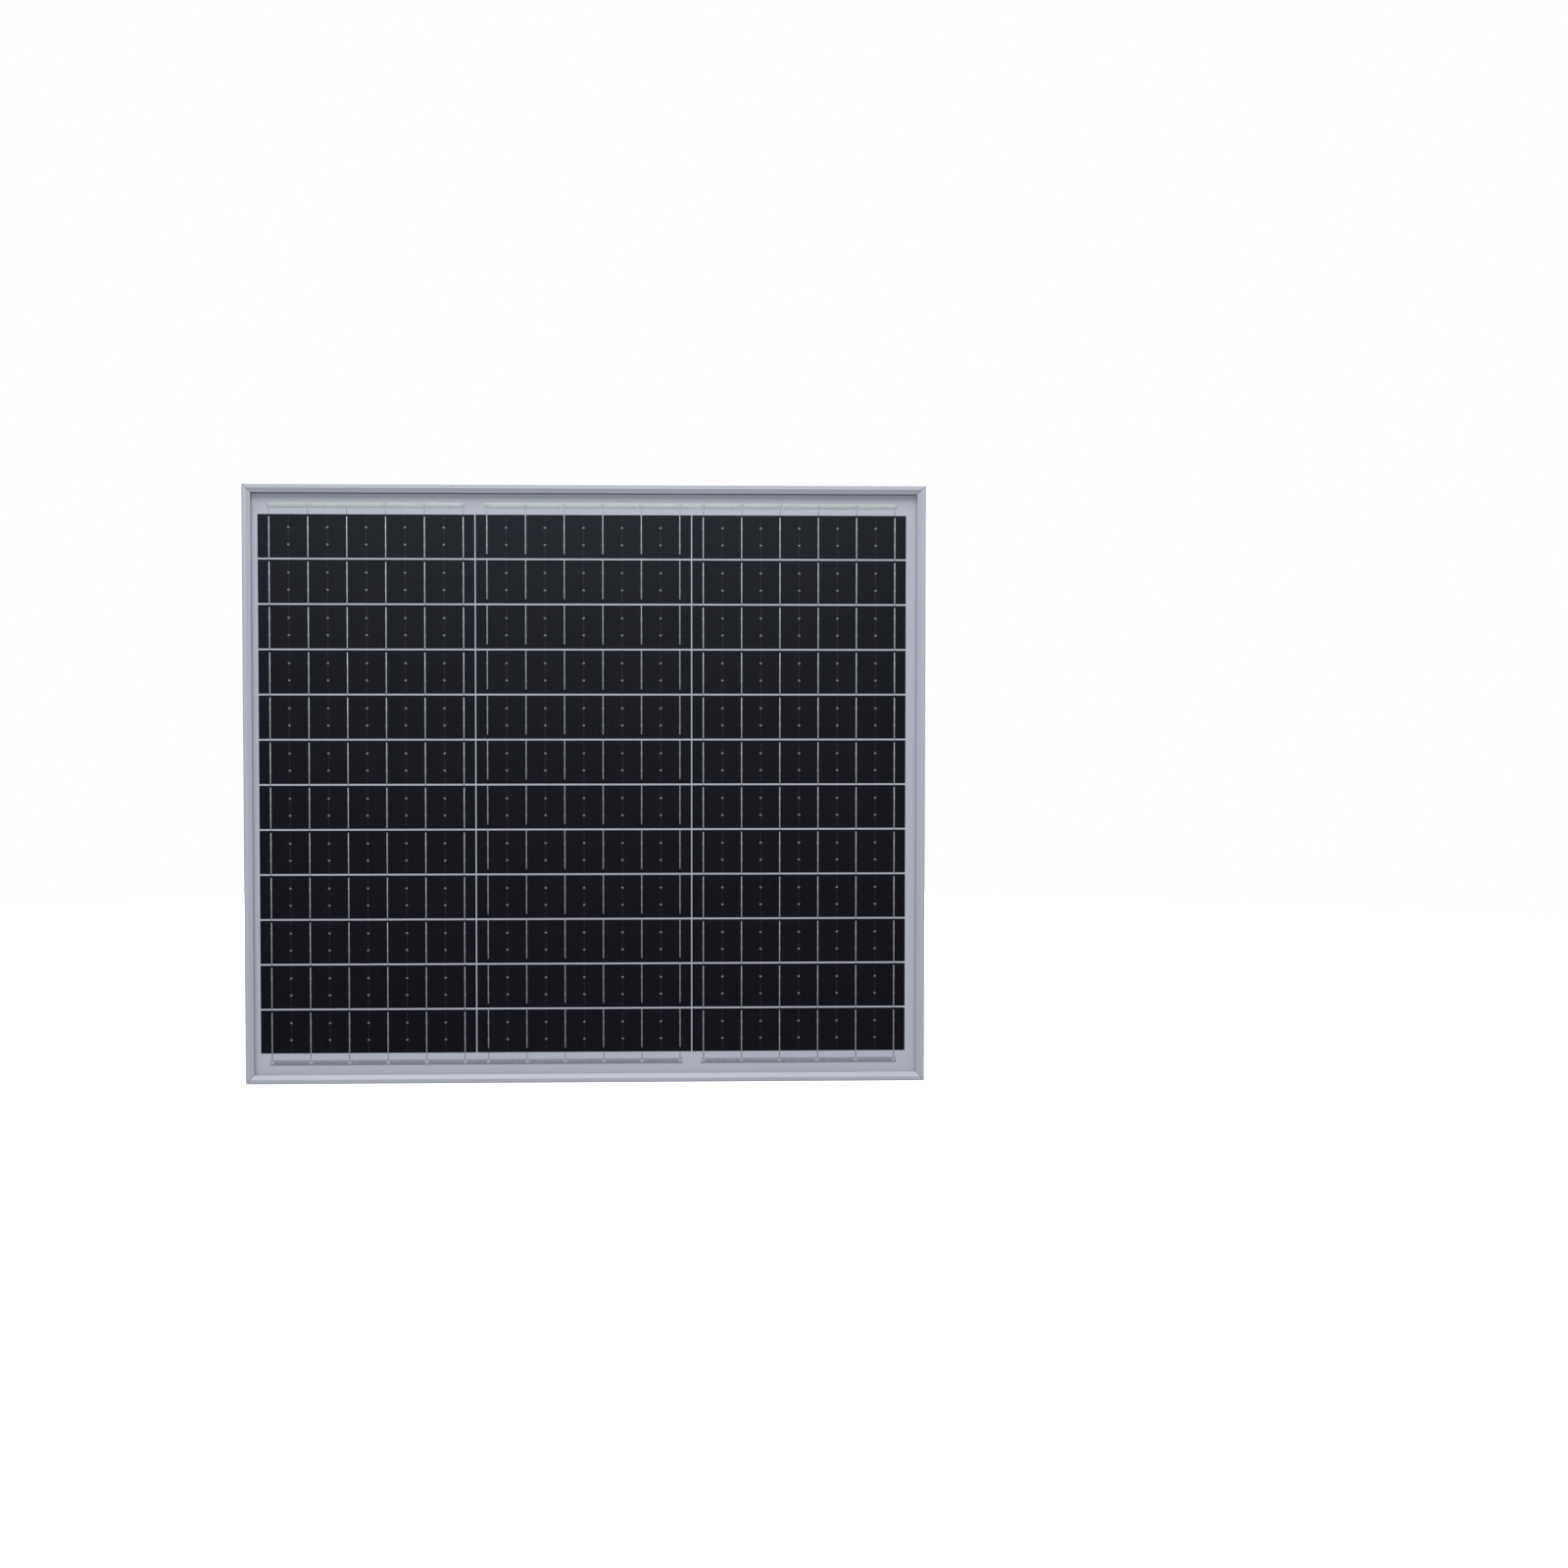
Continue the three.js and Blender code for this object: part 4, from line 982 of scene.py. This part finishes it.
def settle(line, fixed_start, fixed_end, spacing):
    """Pushes the cable's turns apart until they lie beside and over each other, length kept."""
    home = line.copy()
    count = len(line)
    along = np.array(HANK_ALONG)
    across = np.array(HANK_ACROSS)
    middle = np.array(HANK_MIDDLE)
    free = np.ones(count, bool)
    free[:fixed_start] = False
    free[count - fixed_end :] = False
    first, second = np.triu_indices(count, 5)
    for _ in range(SETTLE_ROUNDS):
        bent = line.copy()
        bent[2:-2] = (4 * (line[1:-3] + line[3:-1]) - line[:-4] - line[4:]) / 6
        push = 0.55 * (bent - line) + 0.0008 * (home - line)
        gap = line[second] - line[first]
        distance = np.linalg.norm(gap, axis=1)
        near = np.flatnonzero(distance < CABLE_DIAMETER * 1.01)
        if len(near):
            way = gap[near] / np.maximum(distance[near], 1e-6)[:, None]
            deep = (CABLE_DIAMETER * 1.01 - distance[near])[:, None] * 0.22
            np.add.at(push, first[near], -way * deep)
            np.add.at(push, second[near], way * deep)
        line = np.where(free[:, None], line + push, line)
        for _ in range(3):
            step = np.diff(line, axis=0)
            size = np.linalg.norm(step, axis=1, keepdims=True)
            fix = step * (1 - spacing / np.maximum(size, 1e-6)) * 0.24
            line[:-1] += np.where(free[:-1, None], fix, 0)
            line[1:] -= np.where(free[1:, None], fix, 0)
        place = line - middle
        s, t = place @ along, place @ across
        at_waist = free & (abs(s) < 3.0)
        over = np.clip(t, -WAIST_HALF + 2.5, WAIST_HALF - 2.5) - t
        line[at_waist] += over[at_waist, None] * across
        line[free, 1] = np.clip(line[free, 1], HANK_FLOOR_Y, HANK_TOP_Y)
    return line


def cable_route():
    """The whole cable as evenly spaced points, from the strain relief to the plug."""
    spacing = ROUTE_SPACING
    whole = smooth_line([*LEAD_ROUTE, *hank_guides(), *PLUG_ROUTE], spacing)
    lead = len(smooth_line(LEAD_ROUTE, spacing)) - 9
    end = len(smooth_line(PLUG_ROUTE, spacing))
    return settle(whole, lead, end, spacing)


def add_cable(finish):
    route = smooth_line(cable_route(), 1.2)
    curve = bpy.data.curves.new("cable", "CURVE")
    curve.dimensions = "3D"
    curve.bevel_depth = mm(CABLE_DIAMETER / 2)
    curve.bevel_resolution = 5
    curve.use_fill_caps = True
    spline = curve.splines.new("POLY")
    spline.points.add(len(route) - 1)
    for point, place in zip(spline.points, route):
        point.co = (*mm(place), 1)
    spline.use_smooth = True
    curve.materials.append(finish)
    cable = bpy.data.objects.new("cable", curve)
    bpy.context.scene.collection.objects.link(cable)
    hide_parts("cable_lead", "cable_hank", "cable_plug_lead")
    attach(cable, "panel")
    length = float(np.linalg.norm(np.diff(route, axis=0), axis=1).sum()) / 1000
    return cable, length


def cable_tie(finish):
    """A nylon strap round the hank's waist, with its head and a ribbed tail."""
    build = bmesh.new()
    inner = (WAIST_HALF + 0.3, -16.3, -2.7)
    thick = 1.0
    middle_y = (inner[1] + inner[2]) / 2
    half_y = (inner[2] - inner[1]) / 2
    rings = []
    outer = rounded_ring((inner[0] + thick, half_y + thick), 4.0, 0, (0.0, 0.0), 8)
    hollow = rounded_ring((inner[0], half_y), 3.0, 0, (0.0, 0.0), 8)
    for ring, along in ((hollow, -1.2), (outer, -1.2), (outer, 1.2), (hollow, 1.2)):
        rings.append([in_hank(along, across, middle_y + y) for across, _, y in ring])
    add_loft(build, rings, 0, closed=True)
    head = []
    start = inner[0] + thick - 0.2
    for across, half_s, y_low, y_high in (
        (start, 2.2, -6.4, -2.0),
        (start + 0.3, 2.5, -6.7, -1.7),
        (start + 3.9, 2.5, -6.7, -1.7),
        (start + 4.2, 2.2, -6.4, -2.0),
    ):
        corners = ((-half_s, y_low), (half_s, y_low), (half_s, y_high), (-half_s, y_high))
        head.append([in_hank(along, across, y) for along, y in corners])
    add_loft(build, head)
    tail = []
    length = 55.0
    steps = 44
    for i in range(steps + 1):
        share = i / steps
        across = inner[0] + thick + 1 + share * (length - 1)
        half_s = 1.2 if share < 0.94 else 1.2 - (share - 0.94) / 0.06 * 0.5
        rib = 0.12 if i % 2 and i < steps else 0.0
        y_low = -3.7 + rib
        corners = ((-half_s, y_low), (half_s, y_low), (half_s, -2.75), (-half_s, -2.75))
        tail.append([in_hank(along, across, y) for along, y in corners])
    add_loft(build, tail)
    piece = mesh_piece("tie", build, finish)
    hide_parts("cable_tie")
    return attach(piece, "panel")


def plug_pieces(finish, metal):
    """The moulded plug with its ringed relief, its bright sleeve and the black tip."""
    grip = bmesh.new()
    profile = [(2.5, 0.0), (3.1, 0.05), (3.25, 0.35)]
    for ring in range(4):
        at = 1.4 + ring * 2.5
        radius = 3.3 + ring * 0.15
        groove = radius - 0.4
        profile += [(radius, at), (groove, at + 0.25), (groove, at + 0.95), (radius, at + 1.2)]
    profile += [(3.9, 11.6), (4.3, 12.1), (4.65, 12.5), (4.75, 13.0), (4.75, 15.2)]
    for ring in range(6):
        at = 15.6 + ring * 1.3
        profile += [(4.75, at), (4.5, at + 0.2), (4.5, at + 0.5), (4.75, at + 0.7)]
    profile += [(4.75, 28.0), (4.6, 28.6), (4.1, 28.95), (3.4, 29.0)]
    add_lathe(grip, profile, PLUG_START, PLUG_DIRECTION, 40)
    pieces = [("grip", grip, finish, "cable", "plug_grip")]
    barrel = bmesh.new()
    profile = [(2.0, 29.05), (2.7, 29.05), (2.75, 29.2), (2.75, 37.0), (2.62, 37.2), (2.62, 37.5)]
    profile += [(2.75, 37.7), (2.75, 38.4), (2.6, 38.55), (2.0, 38.55)]
    add_lathe(barrel, profile, PLUG_START, PLUG_DIRECTION, 40)
    pieces.append(("barrel", barrel, metal, "plug_metal", "plug_barrel"))
    tip = bmesh.new()
    profile = [(2.0, 38.6), (2.7, 38.6), (2.7, 39.6), (2.45, 40.3), (2.1, 40.6), (1.25, 40.6)]
    profile += [(1.15, 40.5), (1.15, 39.1)]
    add_lathe(tip, profile, PLUG_START, PLUG_DIRECTION, 40)
    pieces.append(("tip", tip, finish, "cable", "plug_tip"))
    made = []
    for name, build, coat, slot, node in pieces:
        piece = mesh_piece(f"plug_{name}_shape", build, coat)
        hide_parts(node)
        made.append(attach(piece, "panel"))
    return made


def add_cord():
    jacket = moulded("cable_jacket", (0.0022, 0.0031, 0.0056), 0.33, 1200, 0.015, gloss=0.22)
    nylon = moulded("nylon_tie", (0.0022, 0.0032, 0.0052), 0.3, 1500, 0.01, gloss=0.22)
    sleeve = bright_metal("nickel_sleeve", (0.74, 0.72, 0.62), 0.2)
    cable, length = add_cable(jacket)
    tie = cable_tie(nylon)
    plug = plug_pieces(jacket, sleeve)
    tuple(mm(LEAD_ROUTE[0]))
    mm(CABLE_DIAMETER)


add_camera()
add_cord()
add_studio()
add_frame_looks()
add_cells()
add_label()
add_junction_box()
bpy.context.scene.view_settings.view_transform = "Standard"
